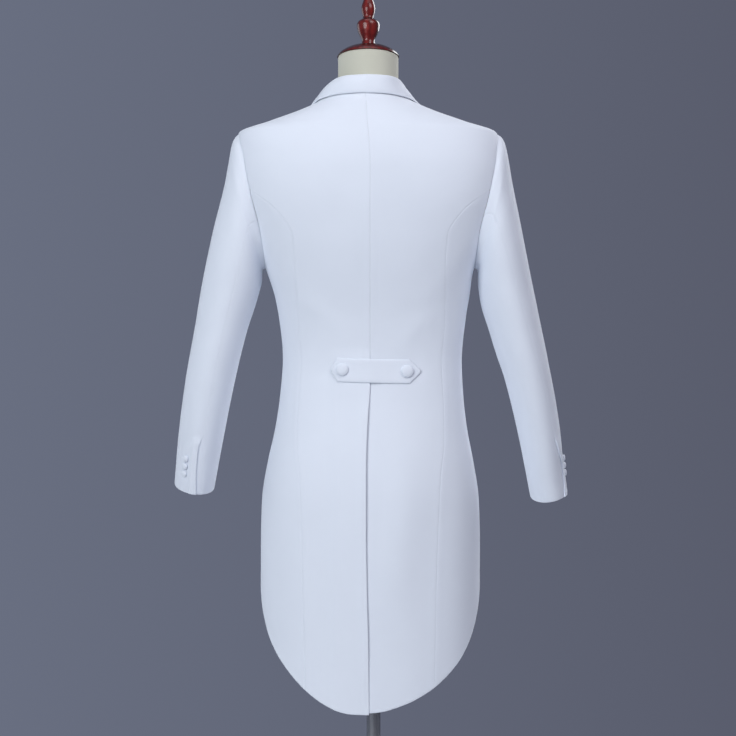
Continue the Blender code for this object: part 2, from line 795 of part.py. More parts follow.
def sleeve_grid(side, start_turn, end_turn, columns):
    grid = []
    for row in SLEEVE_STEPS:
        half_depth = sleeve_values(side, row)[4]
        inset = SEAM / 2 / half_depth
        start = start_turn(row) + inset
        end = end_turn(row) - inset
        turns = [mix(start, end, c / columns) for c in range(columns + 1)]
        line = []
        for turn in turns:
            outer = sleeve_point(side, row, turn)
            line.append((outer, outer - sleeve_normal(side, row, turn) * WALL))
        grid.append(line)
    return grid


def build_sleeves(cloth, collection):
    for side in ("left", "right"):
        mirrored = side == "right"

        def hind(row, side=side):
            return seam_turn(HIND_SEAM, side, row)

        def fore(row, side=side):
            return seam_turn(FORE_SEAM, side, row)

        top = sleeve_grid(side, fore, hind, 13)
        under = sleeve_grid(side, hind, lambda row: fore(row) + 2 * pi, 8)
        for name, grid in (("top_sleeve", top), ("under_sleeve", under)):
            add_wall(f"{name}_{side}", grid, cloth, collection, mirrored, settle=sit_sleeve)


# Collar and lapels --------------------------------------------------------------------------


def collar_row(station):
    """One line across the collar fall, from the fold down to its outer edge."""
    table = [(i, *values) for i, values in enumerate(COLLAR_STATIONS)]
    x, y, z, edge_angle, edge_z = (curve_value(table, station, c) for c in (1, 2, 3, 4, 5))
    angle = radians(edge_angle)
    edge = raised_point(angle, edge_z, COLLAR_LIFT + WALL)
    fold = Vector((x, y, z))
    out = Vector((edge.x - fold.x, edge.y - fold.y, 0.0))
    out = out.normalized() if out.length > 0.004 else Vector((0.0, 1.0, 0.0))
    behind = smooth_step(station, FRONT_STATION, FRONT_STATION - 1.5)
    aside = smooth_step(station, *SIDE_STATIONS)
    first = fold + out * mix(FOLD_ROUNDING, SIDE_ROUNDING, aside)
    hang = Vector((0, 0, mix(FALL_HANG, SIDE_HANG, aside) * behind))
    bulge = mix(FALL_BULGE, SIDE_BULGE, aside)
    second = edge + surface_normal(angle, edge_z) * bulge + hang
    line = []
    for i in range(COLLAR_ACROSS + 1):
        s = i / COLLAR_ACROSS
        line.append(
            fold * (1 - s) ** 3
            + first * (3 * s * (1 - s) ** 2)
            + second * (3 * s * s * (1 - s))
            + edge * s**3
        )
    return line


def build_collar(cloth, collection):
    last = len(COLLAR_STATIONS) - 1
    half = [collar_row(last * i / COLLAR_HALF_STEPS) for i in range(COLLAR_HALF_STEPS + 1)]
    other = [[Vector((-p.x, p.y, p.z)) for p in row] for row in half[:0:-1]]
    lines = other + half
    grid = [[line[-1 - i] for line in lines] for i in range(COLLAR_ACROSS + 1)]
    add_shell("collar", grid, cloth, collection)

    table = [(radians(r[3]), r[0], r[1], r[2]) for r in COLLAR_STATIONS]
    foot = []
    head = []
    for i in range(STAND_STEPS + 1):
        turn = mix(-STAND_END_ANGLE, STAND_END_ANGLE, i / STAND_STEPS)
        side = 1 if turn >= 0 else -1
        x, y, z = (curve_value(table, abs(turn), c) for c in (1, 2, 3))
        base = surface_point(turn, NECKLINE_Z)
        foot.append(base + Vector((0, 0, LAYER_GAP)))
        head.append(Vector((side * x, y, z - STAND_TOP_DROP)))
    shares = [i / STAND_ACROSS for i in range(STAND_ACROSS + 1)]
    grid = [[a.lerp(b, share) for a, b in zip(foot, head)] for share in shares]
    add_shell("collar_stand", grid, cloth, collection)


def build_lapels(cloth, collection):
    """Each lies on its front, outwards from the roll line; the right one stops where the left
    front laps over it."""
    for side in ("left", "right"):
        left = side == "left"
        grid = []
        for r in range(LAPEL_ROWS + 1):
            line = []
            for c in range(LAPEL_COLUMNS + 1):
                share = 1 - c / LAPEL_COLUMNS
                z = mix(LAPEL_FOOT_Z, curve_value(LAPEL_TOP, share), r / LAPEL_ROWS)
                inner = roll_x(z) if left else abs(roll_x(z)) + SEAM
                outer = max(curve_value(LAPEL_EDGE, z), inner + LAPEL_LEAST)
                x = mix(inner, outer, share)
                lift = LAPEL_GAP + WALL + (lap_raise(x, z) if left else 0.0)
                line.append(cloth_pair(front_angle(x, z), z, lift))
            grid.append(line)
        add_wall(f"lapel_{side}", grid, cloth, collection, mirrored=not left)


# Half-belt and buttons ----------------------------------------------------------------------


def belt_raise(x):
    """The belt clears the raised left back and comes down onto the right one."""
    if x >= 0:
        return vent_raise(x, VENT_CLOSED_Z - 0.01)
    return LAYER_RAISE * smooth_step(x, -BELT_STEP_X, 0.0)


def belt_lift(x):
    return belt_raise(x) + LAYER_GAP + WALL


def belt_middle_z(x):
    """Height of the belt's middle line at x: it bows a little and falls to the right."""
    along = (x - BELT_MIDDLE_X) / BELT_HALF_LENGTH
    return BELT_Z + BELT_BOW * along**2 + BELT_SLOPE * (x - BELT_MIDDLE_X)


def build_belt(cloth, collection):
    grid = []
    for r in range(BELT_ROWS + 1):
        line = []
        for c in range(BELT_COLUMNS + 1):
            x = mix(-BELT_HALF_LENGTH, BELT_HALF_LENGTH, c / BELT_COLUMNS)
            point = BELT_LEFT_POINT if x > 0 else BELT_RIGHT_POINT
            room = (BELT_HALF_LENGTH - abs(x)) / point
            half = BELT_HALF_HEIGHT * min(1.0, mix(BELT_POINT_SHARE, 1.0, room))
            z = belt_middle_z(x + BELT_MIDDLE_X) + half * (2 * r / BELT_ROWS - 1)
            x += BELT_MIDDLE_X
            line.append(cloth_pair(back_angle(x, z), z, belt_lift(x)))
        grid.append(line)
    add_wall("half_belt", grid, cloth, collection)


def button_profile(radius, height):
    """Covered button: a domed top, a rounded edge and a flat back."""
    return (
        (0.0, height),
        (radius * 0.45, height * 0.93),
        (radius * 0.80, height * 0.68),
        (radius * 0.97, height * 0.34),
        (radius * 0.94, 0.0),
        (0.0, 0.0),
    )


def sleeve_row_at(side, turn, z):
    """Row of the sleeve at which its surface reaches height z."""
    low = CUFF_FIRST_ROW
    high = float(SLEEVE_ROWS)
    for _ in range(40):
        middle = (low + high) / 2
        if sleeve_point(side, middle, turn).z > z:
            low = middle
        else:
            high = middle
    return low


def build_buttons(covered, collection):
    for side in ("left", "right"):
        x = BELT_BUTTON_X[side]
        z = belt_middle_z(x)
        angle = back_angle(x, z)
        place = sit(raised_point(angle, z, belt_lift(x) + BUTTON_GAP))
        axis = surface_normal(angle, z)
        name = f"belt_button_{side}"
        add_turned(name, button_profile(*BELT_BUTTON), 20, covered, collection, place, axis)

        turn = radians(CUFF_BUTTON_ANGLE[side])
        for number, z in enumerate(CUFF_BUTTON_Z, start=1):
            row = sleeve_row_at(side, turn, z)
            axis = sleeve_normal(side, row, turn)
            place = sleeve_point(side, row, turn) + axis * CUFF_BUTTON_GAP
            if side == "right":
                place.x = -place.x
                axis.x = -axis.x
            name = f"cuff_button_{side}_{number}"
            add_turned(name, button_profile(*CUFF_BUTTON), 14, covered, collection, place, axis)

    angle = front_angle(0.0, WAIST_BUTTON_Z)
    place = sit(raised_point(angle, WAIST_BUTTON_Z, LAYER_RAISE + BUTTON_GAP))
    axis = surface_normal(angle, WAIST_BUTTON_Z)
    profile = button_profile(*FRONT_BUTTON)
    add_turned("front_button", profile, 20, covered, collection, place, axis)


# Dress form ---------------------------------------------------------------------------------


def form_ring(z, around):
    """One level ring of the form's torso, inside the coat's surface by its ease."""
    half_width, back, front, square = section(round(z + FORM_DROP, 7))
    half_width -= curve_value(FORM_EASE, z, 1)
    back -= curve_value(FORM_EASE, z, 2)
    front -= curve_value(FORM_EASE, z, 3)
    ring = []
    for i in range(around):
        angle = 2 * pi * i / around
        reach = back if cos(angle) >= 0 else front
        radius = (
            (abs(sin(angle)) / half_width) ** square + (abs(cos(angle)) / reach) ** square
        ) ** (-1 / square)
        ring.append(sit(Vector((radius * sin(angle), radius * cos(angle), z))))
    return ring


def neck_ring(z, widen, tilt, shift, around):
    """A ring of the neck; tilt lifts its back."""
    ring = []
    for i in range(around):
        angle = 2 * pi * i / around
        x = (NECK_RADIUS + widen) * sin(angle)
        y = (NECK_RADIUS + widen) * cos(angle)
        ring.append(Vector((x + NECK_MIDDLE_X + shift, y + NECK_MIDDLE_Y, z + y * tilt)))
    return ring


FORM_HEIGHTS = (
    0.806, 0.85, 0.90, 0.95, 1.00, 1.05, 1.10, 1.15, 1.19, 1.23, 1.27, 1.31, 1.35, 1.38,
    1.400, 1.412, 1.419, 1.425, 1.432, 1.441, 1.451, 1.461, 1.470, 1.476,
)


def build_form(cover, collection):
    around = FORM_AROUND
    foot = form_ring(FORM_BOTTOM_Z, around)
    rings = [[Vector((p.x * FORM_FOOT_SHARE, p.y * FORM_FOOT_SHARE, p.z)) for p in foot]]
    rings += [form_ring(z, around) for z in FORM_HEIGHTS]
    rings += [neck_ring(*values, around) for values in NECK_RINGS]
    points = [tuple(p) for ring in rings for p in ring]
    faces = [tuple(range(around))]
    for r in range(len(rings) - 1):
        for i in range(around):
            j = (i + 1) % around
            faces.append((r * around + i, r * around + around + i,
                          r * around + around + j, r * around + j))
    faces.append(tuple(reversed(range((len(rings) - 1) * around, len(rings) * around))))
    mesh = bpy.data.meshes.new("dress_form")
    mesh.from_pydata(points, [], faces)
    mesh.shade_smooth()
    mesh.set_sharp_from_angle(angle=radians(40))
    add_object("dress_form", mesh, cover, collection)


def build_stand(wood, steel, collection):
    tilt = (0.0, -sin(NECK_TILT), cos(NECK_TILT))
    seat = Vector((NECK_MIDDLE_X, NECK_MIDDLE_Y, NECK_TOP_Z)) + Vector(tilt) * SEAT_GAP
    add_turned("neck_cap", CAP_PROFILE, 32, wood, collection, seat, tilt)
    foot = seat + Vector(tilt) * (CAP_PROFILE[0][1] + SEAT_GAP)
    add_turned("finial", FINIAL_PROFILE, 16, wood, collection, foot, tilt)
    pole_top = FORM_BOTTOM_Z - SEAT_GAP
    bpy.ops.mesh.primitive_cylinder_add(
        vertices=24,
        radius=POLE_RADIUS,
        depth=pole_top - POLE_SEAT_Z,
        location=(POLE_X, 0.0, (pole_top + POLE_SEAT_Z) / 2),
    )
    pole = bpy.context.object
    pole.name = "pole"
    pole.data.name = "pole"
    pole.data.materials.append(steel)
    for holder in list(pole.users_collection):
        holder.objects.unlink(pole)
    collection.objects.link(pole)
    add_turned("base", BASE_PROFILE, 40, steel, collection, (0.0, 0.0, 0.0))


def main():
    for thing in list(bpy.data.objects):
        bpy.data.objects.remove(thing, do_unlink=True)
    parts = make_collection("tailcoat_on_dress_form")
    cloth = make_material("white_suiting", (0.86, 0.88, 0.93), 0.75)
    covered = make_material("covered_button", (0.84, 0.86, 0.91), 0.65)
    cover = make_material("cream_cotton", (0.52, 0.52, 0.45), 0.85)
    wood = make_material("red_brown_wood", (0.15, 0.03, 0.03), 0.30)
    steel = make_material("steel", (0.13, 0.13, 0.14), 0.30, metallic=1.0)
    build_body(cloth, parts)
    build_sleeves(cloth, parts)
    build_collar(cloth, parts)
    build_lapels(cloth, parts)
    build_belt(cloth, parts)
    build_buttons(covered, parts)
    build_form(cover, parts)
    build_stand(wood, steel, parts)


main()
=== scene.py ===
"""Looks of the white tailcoat on its dress form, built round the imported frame.

Metres, +Z up; the coat's back faces +Y and the wearer's left side is +X. Each cloth piece repeats
the surface of its solid at a finer step, with seam grooves, rounded edges and a few soft folds.
"""

from math import cos, pi, radians, sin, tan

import bpy
import numpy as np
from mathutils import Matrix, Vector


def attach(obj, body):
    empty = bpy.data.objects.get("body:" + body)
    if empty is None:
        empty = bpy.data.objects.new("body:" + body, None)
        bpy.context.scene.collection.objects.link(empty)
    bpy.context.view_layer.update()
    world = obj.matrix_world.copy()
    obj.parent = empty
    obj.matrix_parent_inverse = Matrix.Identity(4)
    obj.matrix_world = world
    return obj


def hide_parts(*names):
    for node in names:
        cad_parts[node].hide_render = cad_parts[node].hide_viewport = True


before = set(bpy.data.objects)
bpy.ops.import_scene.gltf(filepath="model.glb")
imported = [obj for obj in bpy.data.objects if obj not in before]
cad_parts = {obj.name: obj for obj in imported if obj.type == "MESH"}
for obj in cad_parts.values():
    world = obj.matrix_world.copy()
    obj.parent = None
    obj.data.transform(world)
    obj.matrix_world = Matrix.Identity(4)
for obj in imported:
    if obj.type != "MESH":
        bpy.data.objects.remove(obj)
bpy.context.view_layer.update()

WALL = 0.0016
SEAM = 0.0001
LAYER_GAP = 0.0005
LAPEL_GAP = 0.0010
# Rounded edges of the cloth: depth, reach in from the edge
SEAM_ROUNDING = (0.00035, 0.0018)
HEM_ROUNDING = (0.0006, 0.0020)
HEM_INSET = (0.0005, 0.0020)
HEAD_ROUNDING = (0.0002, 0.0012)
FOLDED_EDGE = (0.0006, 0.0024)
PRESSED_DEPTH = 0.00035
PRESSED_REACH = (0.013, 0.008)

NECKLINE_Z = 1.490
FRONT_NECK_Z = 1.484
ARMHOLE_TOP_Z = 1.4215
ARMHOLE_BOTTOM_Z = 1.190
WAIST_BUTTON_Z = 1.058
BELT_Z = 1.0145
HEM_START_Z = 0.452

# Level sections: z, half width, reach to the back, reach to the front, squareness
COAT_SECTIONS = (
    (0.43, 0.188, 0.138, 0.122, 2.35), (0.7, 0.187, 0.136, 0.122, 2.35),
    (0.8, 0.184, 0.132, 0.122, 2.35), (0.86, 0.175, 0.124, 0.12, 2.35),
    (0.92, 0.163, 0.11, 0.116, 2.3), (0.98, 0.156, 0.096, 0.112, 2.3),
    (1.035, 0.153, 0.088, 0.11, 2.3), (1.1, 0.159, 0.093, 0.115, 2.35),
    (1.15, 0.168, 0.102, 0.121, 2.4), (1.19, 0.178, 0.11, 0.125, 2.5),
    (1.24, 0.197, 0.118, 0.127, 2.55), (1.31, 0.224, 0.123, 0.122, 2.55),
    (1.355, 0.23, 0.121, 0.111, 2.5), (1.39, 0.228, 0.115, 0.099, 2.4),
    (1.4215, 0.2205, 0.105, 0.086, 2.25), (1.44, 0.1705, 0.0955, 0.076, 2.15),
    (1.46, 0.115, 0.083, 0.065, 2.1), (1.475, 0.0825, 0.071, 0.0565, 2.0),
    (1.49, 0.062, 0.0565, 0.047, 2.0),
)
# How the coat sits: z, shift along X, shift of its sides alone
LEAN = (
    (0.43, 0.0, 0.0), (0.84, 0.0, -0.001), (0.94, 0.0, -0.0025), (1.08, 0.0, -0.0043),
    (1.14, 0.0, -0.0038), (1.19, 0.0, 0.0), (1.36, 0.0, 0.0), (1.45, 0.0058, 0.0),
    (1.47, 0.0064, 0.0), (1.48, 0.0082, 0.0), (1.497, 0.0085, 0.0), (1.515, 0.0045, 0.0),
)
# Lower edge: angle round from the centre back in degrees, z; both sides share its front
HEM_FRONT = (
    (55.0, 0.5255), (66.0, 0.564), (74.0, 0.6), (84.0, 0.645), (100.0, 0.715), (130.0, 0.825),
    (155.0, 0.935), (180.0, 1.02), (195.0, 1.03),
)
HEM = {
    "left": (
        (-20.0, 0.46), (0.0, 0.4508), (12.0, 0.4515), (20.0, 0.455), (30.0, 0.466),
        (42.0, 0.4890), *HEM_FRONT,
    ),
    "right": (
        (-20.0, 0.457), (0.0, 0.4535), (8.0, 0.4555), (19.0, 0.463), (28.0, 0.472),
        (40.0, 0.4900), *HEM_FRONT,
    ),
}
# Side-back seam: z, distance from the centre back along X
SIDE_BACK_SEAM = (
    (0.5, 0.107), (0.69, 0.111), (0.84, 0.117), (0.9, 0.123), (0.96, 0.122), (1.03, 0.118),
    (1.09, 0.123), (1.16, 0.1245), (1.24, 0.129), (1.28, 0.153), (1.325, 0.21),
)
SIDE_FRONT_ANGLE = radians(104)
SHOULDER_ANGLE = radians(90)
SHOULDER_Z = 1.395
ARMHOLE_MIDDLE_Z = (ARMHOLE_TOP_Z + ARMHOLE_BOTTOM_Z) / 2
ARMHOLE_HALF_HEIGHT = (ARMHOLE_TOP_Z - ARMHOLE_BOTTOM_Z) / 2
ARMHOLE_BACK = 0.072
ARMHOLE_FRONT = 0.062
ARMHOLE_GAP = 0.0003

VENT_CLOSED_Z = 1.022
VENT_OPEN_Z = 0.984
VENT_FULL_Z = 0.93
VENT_SWELL = 0.0024
VENT_SWELL_WIDTH = 0.022
FACING_STEP = 0.0006
FACING_X = (0.0530, 0.0495)
UNDERLAP = 0.045
# Edge of the left back down the vent: z, distance from the centre along X
VENT_EDGE = (
    (0.45, 0.0017), (0.56, 0.003), (0.65, 0.005), (0.75, 0.0066), (0.85, 0.0066),
    (0.92, 0.0046), (0.984, 0.0),
)
# How far a lapping piece is raised, and where the raise sets in: z, then x
LAYER_RAISE = WALL + 0.0004
VENT_RAISE = ((1.056, 1.030), (0.076, 0.053))
LAP_RAISE = ((1.250, 1.175), (0.050, 0.022))
FRONT_LAP = 0.018
BREAK_Z = 1.078
ROLL_TOP_X = 0.066
# Lapel: z, distance of the outer edge from the centre front; and share of the width, z
LAPEL_EDGE = (
    (1.088, -0.01), (1.115, 0.018), (1.15, 0.044), (1.22, 0.082), (1.3, 0.115), (1.36, 0.136),
    (1.41, 0.148),
)
LAPEL_TOP = ((0.0, 1.4210), (0.30, 1.4110), (0.60, 1.3990), (1.0, 1.4140))
LAPEL_FOOT_Z = 1.0880
LAPEL_LEAST = 0.006
LAPEL_BELLY = 0.0022
LAPEL_ROLL = (0.0026, 0.0060)
# Collar: at the centre back, at the sides
COLLAR_BELLY = (0.0055, 0.0052)
COLLAR_BULGE = (0.0030, 0.0012)
COLLAR_HANG = (0.0070, 0.0018)
COLLAR_EDGE_LIFT = 0.0003
COLLAR_FOLD_HALF = 0.0022
COLLAR_FOLD_DROP = 0.0026
# Collar fall: fold x, fold y, fold z, edge angle in degrees, edge z
COLLAR_STATIONS = (
    (0.0, 0.0572, 1.515, 0.0, 1.481), (0.0305, 0.0495, 1.5145, 34.0, 1.48),
    (0.0495, 0.03, 1.513, 64.0, 1.4765), (0.0598, 0.003, 1.509, 90.0, 1.4725),
    (0.065, -0.021, 1.496, 106.0, 1.4595), (0.066, -0.0475, 1.4755, 117.0, 1.4375),
    (0.0545, -0.088, 1.427, 127.0, 1.405),
)
# Sleeve: z of the outer line, z of the inner line, half depth, middle y, drop of the back
SLEEVE_SECTIONS = (
    (1.4215, 1.19, 0.067, 0.005, 0.0), (1.414, 1.1903, 0.068, 0.005, 0.0),
    (1.402, 1.1898, 0.0685, 0.005, 0.0), (1.382, 1.1885, 0.07, 0.005, 0.0),
    (1.352, 1.186, 0.0715, 0.004, 0.0), (1.315, 1.182, 0.0725, 0.004, 0.02),
    (1.27, 1.175, 0.072, 0.003, 0.03), (1.22, 1.162, 0.0705, 0.002, 0.04),
    (1.17, 1.14, 0.068, 0.001, 0.05), (1.12, 1.105, 0.065, -0.001, 0.07),
    (1.065, 1.053, 0.062, -0.004, 0.1), (1.01, 0.998, 0.0595, -0.01, 0.14),
    (0.955, 0.943, 0.0575, -0.018, 0.18), (0.9, 0.888, 0.056, -0.028, 0.2),
    (0.858, 0.846, 0.0545, -0.037, 0.21), (0.8216, 0.8097, 0.0535, -0.045, 0.21),
)
SLEEVE_ROWS = len(SLEEVE_SECTIONS) - 1
BLEND_ROWS = 3.0
SLEEVE_SIT_Z = 1.19
SLEEVE_RADIUS = 0.052
BODY_RADIUS = 0.155
CUFF_VENT_LIFT = {"top_sleeve": 0.0023, "under_sleeve": -0.0004}
CUFF_VENT_X = (0.016, 0.010)
CUFF_VENT_Z = (0.905, 0.890)
OUTER_LINE = {
    "left": (
        (0.8216, 0.3392), (0.9, 0.3312), (1.003, 0.3164), (1.085, 0.301),
        (1.167, 0.2868), (1.249, 0.269), (1.331, 0.2486), (1.372, 0.2412),
        (1.403, 0.2335), (1.414, 0.228), (1.4215, 0.2205),
    ),
    "right": (
        (0.808, 0.3428), (0.839, 0.3366), (0.859, 0.334), (0.9, 0.3292),
        (1.003, 0.3114), (1.085, 0.2948), (1.167, 0.2773), (1.249, 0.2606), (1.331, 0.2442),
        (1.372, 0.2375), (1.403, 0.233), (1.414, 0.229), (1.4215, 0.2205),
    ),
}
INNER_LINE = {
    "left": (
        (0.8097, 0.2708), (0.9, 0.2528), (1.003, 0.231), (1.085, 0.2103),
        (1.126, 0.1967), (1.15, 0.1896), (1.167, 0.1855), (1.182, 0.1845),
        (1.1885, 0.1835), (1.1903, 0.181),
    ),
    "right": (
        (0.796, 0.2788), (0.9, 0.257), (1.003, 0.2308), (1.044, 0.2165),
        (1.085, 0.2038), (1.126, 0.1908), (1.15, 0.1866), (1.167, 0.1848),
        (1.182, 0.1844), (1.1885, 0.1835), (1.1903, 0.181),
    ),
}
CUFF_EXTRA_DROP = {"left": 0.0, "right": 0.0136}
EXTRA_DROP_FROM_ROW = 8.0
HIND_SEAM = {
    "left": (
        (0.0, 110.0), (9.0, 102.0), (11.8, 103.0), (12.5, 99.0), (13.0, 92.0), (13.8, 94.0),
        (15.0, 102.0),
    ),
    "right": (
        (0.0, 106.0), (4.0, 92.0), (8.0, 72.0), (10.6, 60.0), (12.0, 54.5), (12.5, 52.0),
        (13.0, 44.0), (13.8, 30.0), (14.4, 33.0), (15.0, 44.0),
    ),
}
FORE_SEAM = {
    "left": ((0.0, -112.0), (15.0, -110.0)),
    "right": ((0.0, -114.0), (15.0, -140.0)),
}

BELT_MIDDLE_X = -0.009
BELT_HALF_LENGTH = 0.0745
BELT_HALF_HEIGHT = 0.0202
BELT_LEFT_POINT = 0.011
BELT_RIGHT_POINT = 0.018
BELT_BOW = 0.0012
BELT_SLOPE = 0.022
BELT_STEP_X = 0.030
BELT_PUFF = 0.0009
BELT_ROUNDING = (0.0008, 0.0014)
# Stitched line along the belt's edge: depth, distance in, width
BELT_STITCH = (0.0004, 0.0040, 0.0010)
# Buttons: radius, height
BELT_BUTTON = (0.0112, 0.0058)
CUFF_BUTTON = (0.0062, 0.0040)
FRONT_BUTTON = (0.0110, 0.0058)
BELT_BUTTON_X = {"left": 0.0460, "right": -0.0612}
CUFF_BUTTON_ANGLE = {"left": 63.0, "right": 8.0}
CUFF_BUTTON_Z = (0.8394, 0.8522, 0.8650)
BUTTON_GAP = 0.0007
PLEATS = 22
PLEAT_DEPTH = 0.00012
# Share of the button's radius, share of its height
BUTTON_PROFILE = (
    (0.0, 1.0), (0.25, 0.985), (0.5, 0.92), (0.72, 0.79), (0.88, 0.6), (0.97, 0.38),
    (0.99, 0.2), (0.955, 0.06), (0.9, 0.0), (0.0, 0.0),
)

FORM_BOTTOM_Z = 0.800
# Ease of the form inside the coat: z, at the sides, at the back, at the front
FORM_EASE = (
    (0.8, 0.022, 0.015, 0.012), (0.9, 0.016, 0.011, 0.01), (1.03, 0.009, 0.007, 0.007),
    (1.2, 0.007, 0.005, 0.006), (1.32, 0.012, 0.0032, 0.0055), (1.4, 0.013, 0.0032, 0.0055),
    (1.425, 0.008, 0.0034, 0.005), (1.45, 0.0052, 0.0034, 0.0046),
    (1.478, 0.0052, 0.0034, 0.0046),
)
NECK_RADIUS = 0.0516
NECK_MIDDLE_X = 0.0030
NECK_MIDDLE_Y = 0.002
NECK_TOP_Z = 1.5520
NECK_TILT = radians(7)
# Neck of the form: z, widening, slope towards the back, shift along X
NECK_RINGS = (
    (1.483, 0.0008, 0.02, 0.0026), (1.4865, 0.0001, 0.035, 0.0018), (1.49, -0.0006, 0.05, 0.001),
    (1.495, -0.0004, 0.06, 0.0005), (1.505, 0.0, 0.08, 0.0), (1.52, 0.0, 0.094, 0.0),
    (1.54, 0.0, 0.112, 0.0), (NECK_TOP_Z - 0.002, 0.0, 0.121, 0.0),
    (NECK_TOP_Z - 0.0006, -0.0003, 0.1219, 0.0), (NECK_TOP_Z, -0.0012, 0.1219, 0.0),
)
JOINT_GAP = 0.0003
FORM_RADIUS = 0.15
FORM_SEAM_WIDTH = 0.0018
FORM_SEAM_DEPTH = 0.0008
CAP_PROFILE = (
    (0.0, 0.0202), (0.012, 0.0197), (0.024, 0.018), (0.035, 0.0146), (0.043, 0.0103),
    (0.049, 0.006), (0.0524, 0.002), (0.053, 0.0), (0.0, 0.0),
)
FINIAL_PROFILE = (
    (0.0, 0.105), (0.004, 0.1042), (0.0068, 0.101), (0.0074, 0.097), (0.0062, 0.0925),
    (0.0056, 0.0885), (0.0072, 0.083), (0.0094, 0.0765), (0.0113, 0.0705), (0.0119, 0.065),
    (0.0115, 0.06), (0.01, 0.055), (0.0088, 0.051), (0.0092, 0.048), (0.0118, 0.0455),
    (0.0168, 0.0425), (0.019, 0.039), (0.0196, 0.0355), (0.0192, 0.031), (0.018, 0.0245),
    (0.0152, 0.0182), (0.0125, 0.0135), (0.0109, 0.009), (0.0109, 0.005), (0.0117, 0.002),
    (0.0121, 0.0), (0.0, 0.0),
)

# Soft folds: start (across, up), end (across, up), width, depth, sideways bend; metres.
# Across is counted round the body from the centre back, or round the sleeve from its outer line.
BODY_FOLDS = {
    "left": (
        (0.02, 1.36, 0.15, 1.16, 0.03, -0.001, 0.01),
        (0.19, 1.26, 0.12, 1.1, 0.022, 0.0012, -0.012),
        (0.17, 1.14, 0.06, 1.06, 0.018, 0.001, 0.006),
        (0.15, 1.0, 0.05, 1.03, 0.014, -0.0009, 0.004),
        (0.11, 0.97, 0.135, 0.56, 0.03, 0.0016, 0.01),
        (0.06, 0.95, 0.075, 0.6, 0.028, -0.0012, -0.008),
        (0.215, 0.98, 0.235, 0.72, 0.026, 0.0014, 0.006),
    ),
    "right": (
        (0.03, 1.35, 0.14, 1.19, 0.032, -0.0011, 0.012),
        (0.185, 1.24, 0.105, 1.12, 0.02, 0.0013, -0.01),
        (0.165, 1.12, 0.075, 1.05, 0.016, 0.0011, 0.006),
        (0.14, 1.01, 0.06, 1.03, 0.013, -0.0008, 0.004),
        (0.12, 0.98, 0.11, 0.52, 0.034, -0.0015, 0.01),
        (0.125, 0.92, 0.015, 0.6, 0.048, 0.0034, 0.012),
        (0.06, 0.92, 0.045, 0.56, 0.026, 0.0012, -0.006),
        (0.21, 0.96, 0.225, 0.7, 0.024, 0.0015, 0.006),
    ),
}
SLEEVE_FOLDS = {
    "left": (
        (0.095, 1.17, 0.03, 1.115, 0.024, -0.001, 0.008),
        (0.1, 1.095, 0.02, 1.07, 0.02, -0.0009, -0.006),
        (0.02, 1.34, 0.07, 1.15, 0.03, 0.0014, 0.008),
        (-0.03, 1.13, -0.08, 1.06, 0.024, -0.0011, 0.006),
        (0.05, 1.04, 0.065, 0.9, 0.022, 0.001, 0.004),
        (0.075, 0.99, 0.09, 0.88, 0.016, -0.0007, -0.004),
    ),
    "right": (
        (0.1, 1.18, 0.025, 1.13, 0.026, -0.0011, 0.008),
        (0.085, 1.08, 0.0, 1.105, 0.021, -0.0008, -0.005),
        (0.03, 1.33, 0.06, 1.19, 0.03, 0.0012, 0.006),
        (0.085, 1.25, 0.075, 1.02, 0.018, 0.0009, 0.006),
        (-0.02, 1.15, -0.08, 1.08, 0.024, -0.001, 0.006),
        (0.01, 1.01, 0.03, 0.88, 0.024, 0.001, 0.004),
    ),
}


# ---- Numbers


def step(value, start, end):
    share = np.clip((value - start) / (end - start), 0.0, 1.0)
    return share * share * (3 - 2 * share)


def mix(first, second, share):
    return first + (second - first) * share


def curve(rows, at, column=1):
    """Smooth values of one column of a table whose first column rises; no overshoot."""
    table = np.asarray(rows, float)
    x, y = table[:, 0], table[:, column]
    at = np.clip(np.asarray(at, float), x[0], x[-1])
    i = np.clip(np.searchsorted(x, at, side="right") - 1, 0, len(x) - 2)
    slope = np.diff(y) / np.diff(x)
    before, after = slope[:-1], slope[1:]
    same = before * after > 0
    inner = np.where(same, 2 * before * after / np.where(same, before + after, 1.0), 0.0)
    tangent = np.concatenate(([slope[0]], inner, [slope[-1]]))
    width = x[i + 1] - x[i]
    s = (at - x[i]) / width
    return (
        y[i] * (1 + 2 * s) * (1 - s) ** 2
        + tangent[i] * width * s * (1 - s) ** 2
        + y[i + 1] * s * s * (3 - 2 * s)
        + tangent[i + 1] * width * s * s * (s - 1)
    )


def unit(v):
    return v / np.maximum(np.linalg.norm(v, axis=-1, keepdims=True), 1e-12)


def points(x, y, z):
    return np.stack(np.broadcast_arrays(x, y, z), axis=-1)


# ---- The coat's body surface

FINE_Z = np.arange(0.400, 1.5005, 0.001)


def softened(column):
    """A column of the sections on a fine scale, its bends eased below the shoulders."""
    raw = curve(COAT_SECTIONS, FINE_Z, column)
    reach = np.arange(-30, 31)
    kernel = np.exp(-((reach / 11.0) ** 2))
    kernel /= kernel.sum()
    eased = np.convolve(np.pad(raw, 30, mode="edge"), kernel, mode="valid")
    return mix(eased, raw, step(FINE_Z, 1.345, 1.385))


FINE = {column: softened(column) for column in (1, 2, 3, 4)}


def section(z):
    return [np.interp(z, FINE_Z, FINE[column]) for column in (1, 2, 3, 4)]


def surface(angle, z):
    """Point of the coat's outer surface, the angle counted from the centre back towards +X."""
    half_width, back, front, square = section(z)
    reach = np.where(np.cos(angle) >= 0, back, front)
    across = np.abs(np.sin(angle)) / half_width
    along = np.abs(np.cos(angle)) / reach
    radius = (across**square + along**square) ** (-1 / square)
    return points(radius * np.sin(angle), radius * np.cos(angle), z)


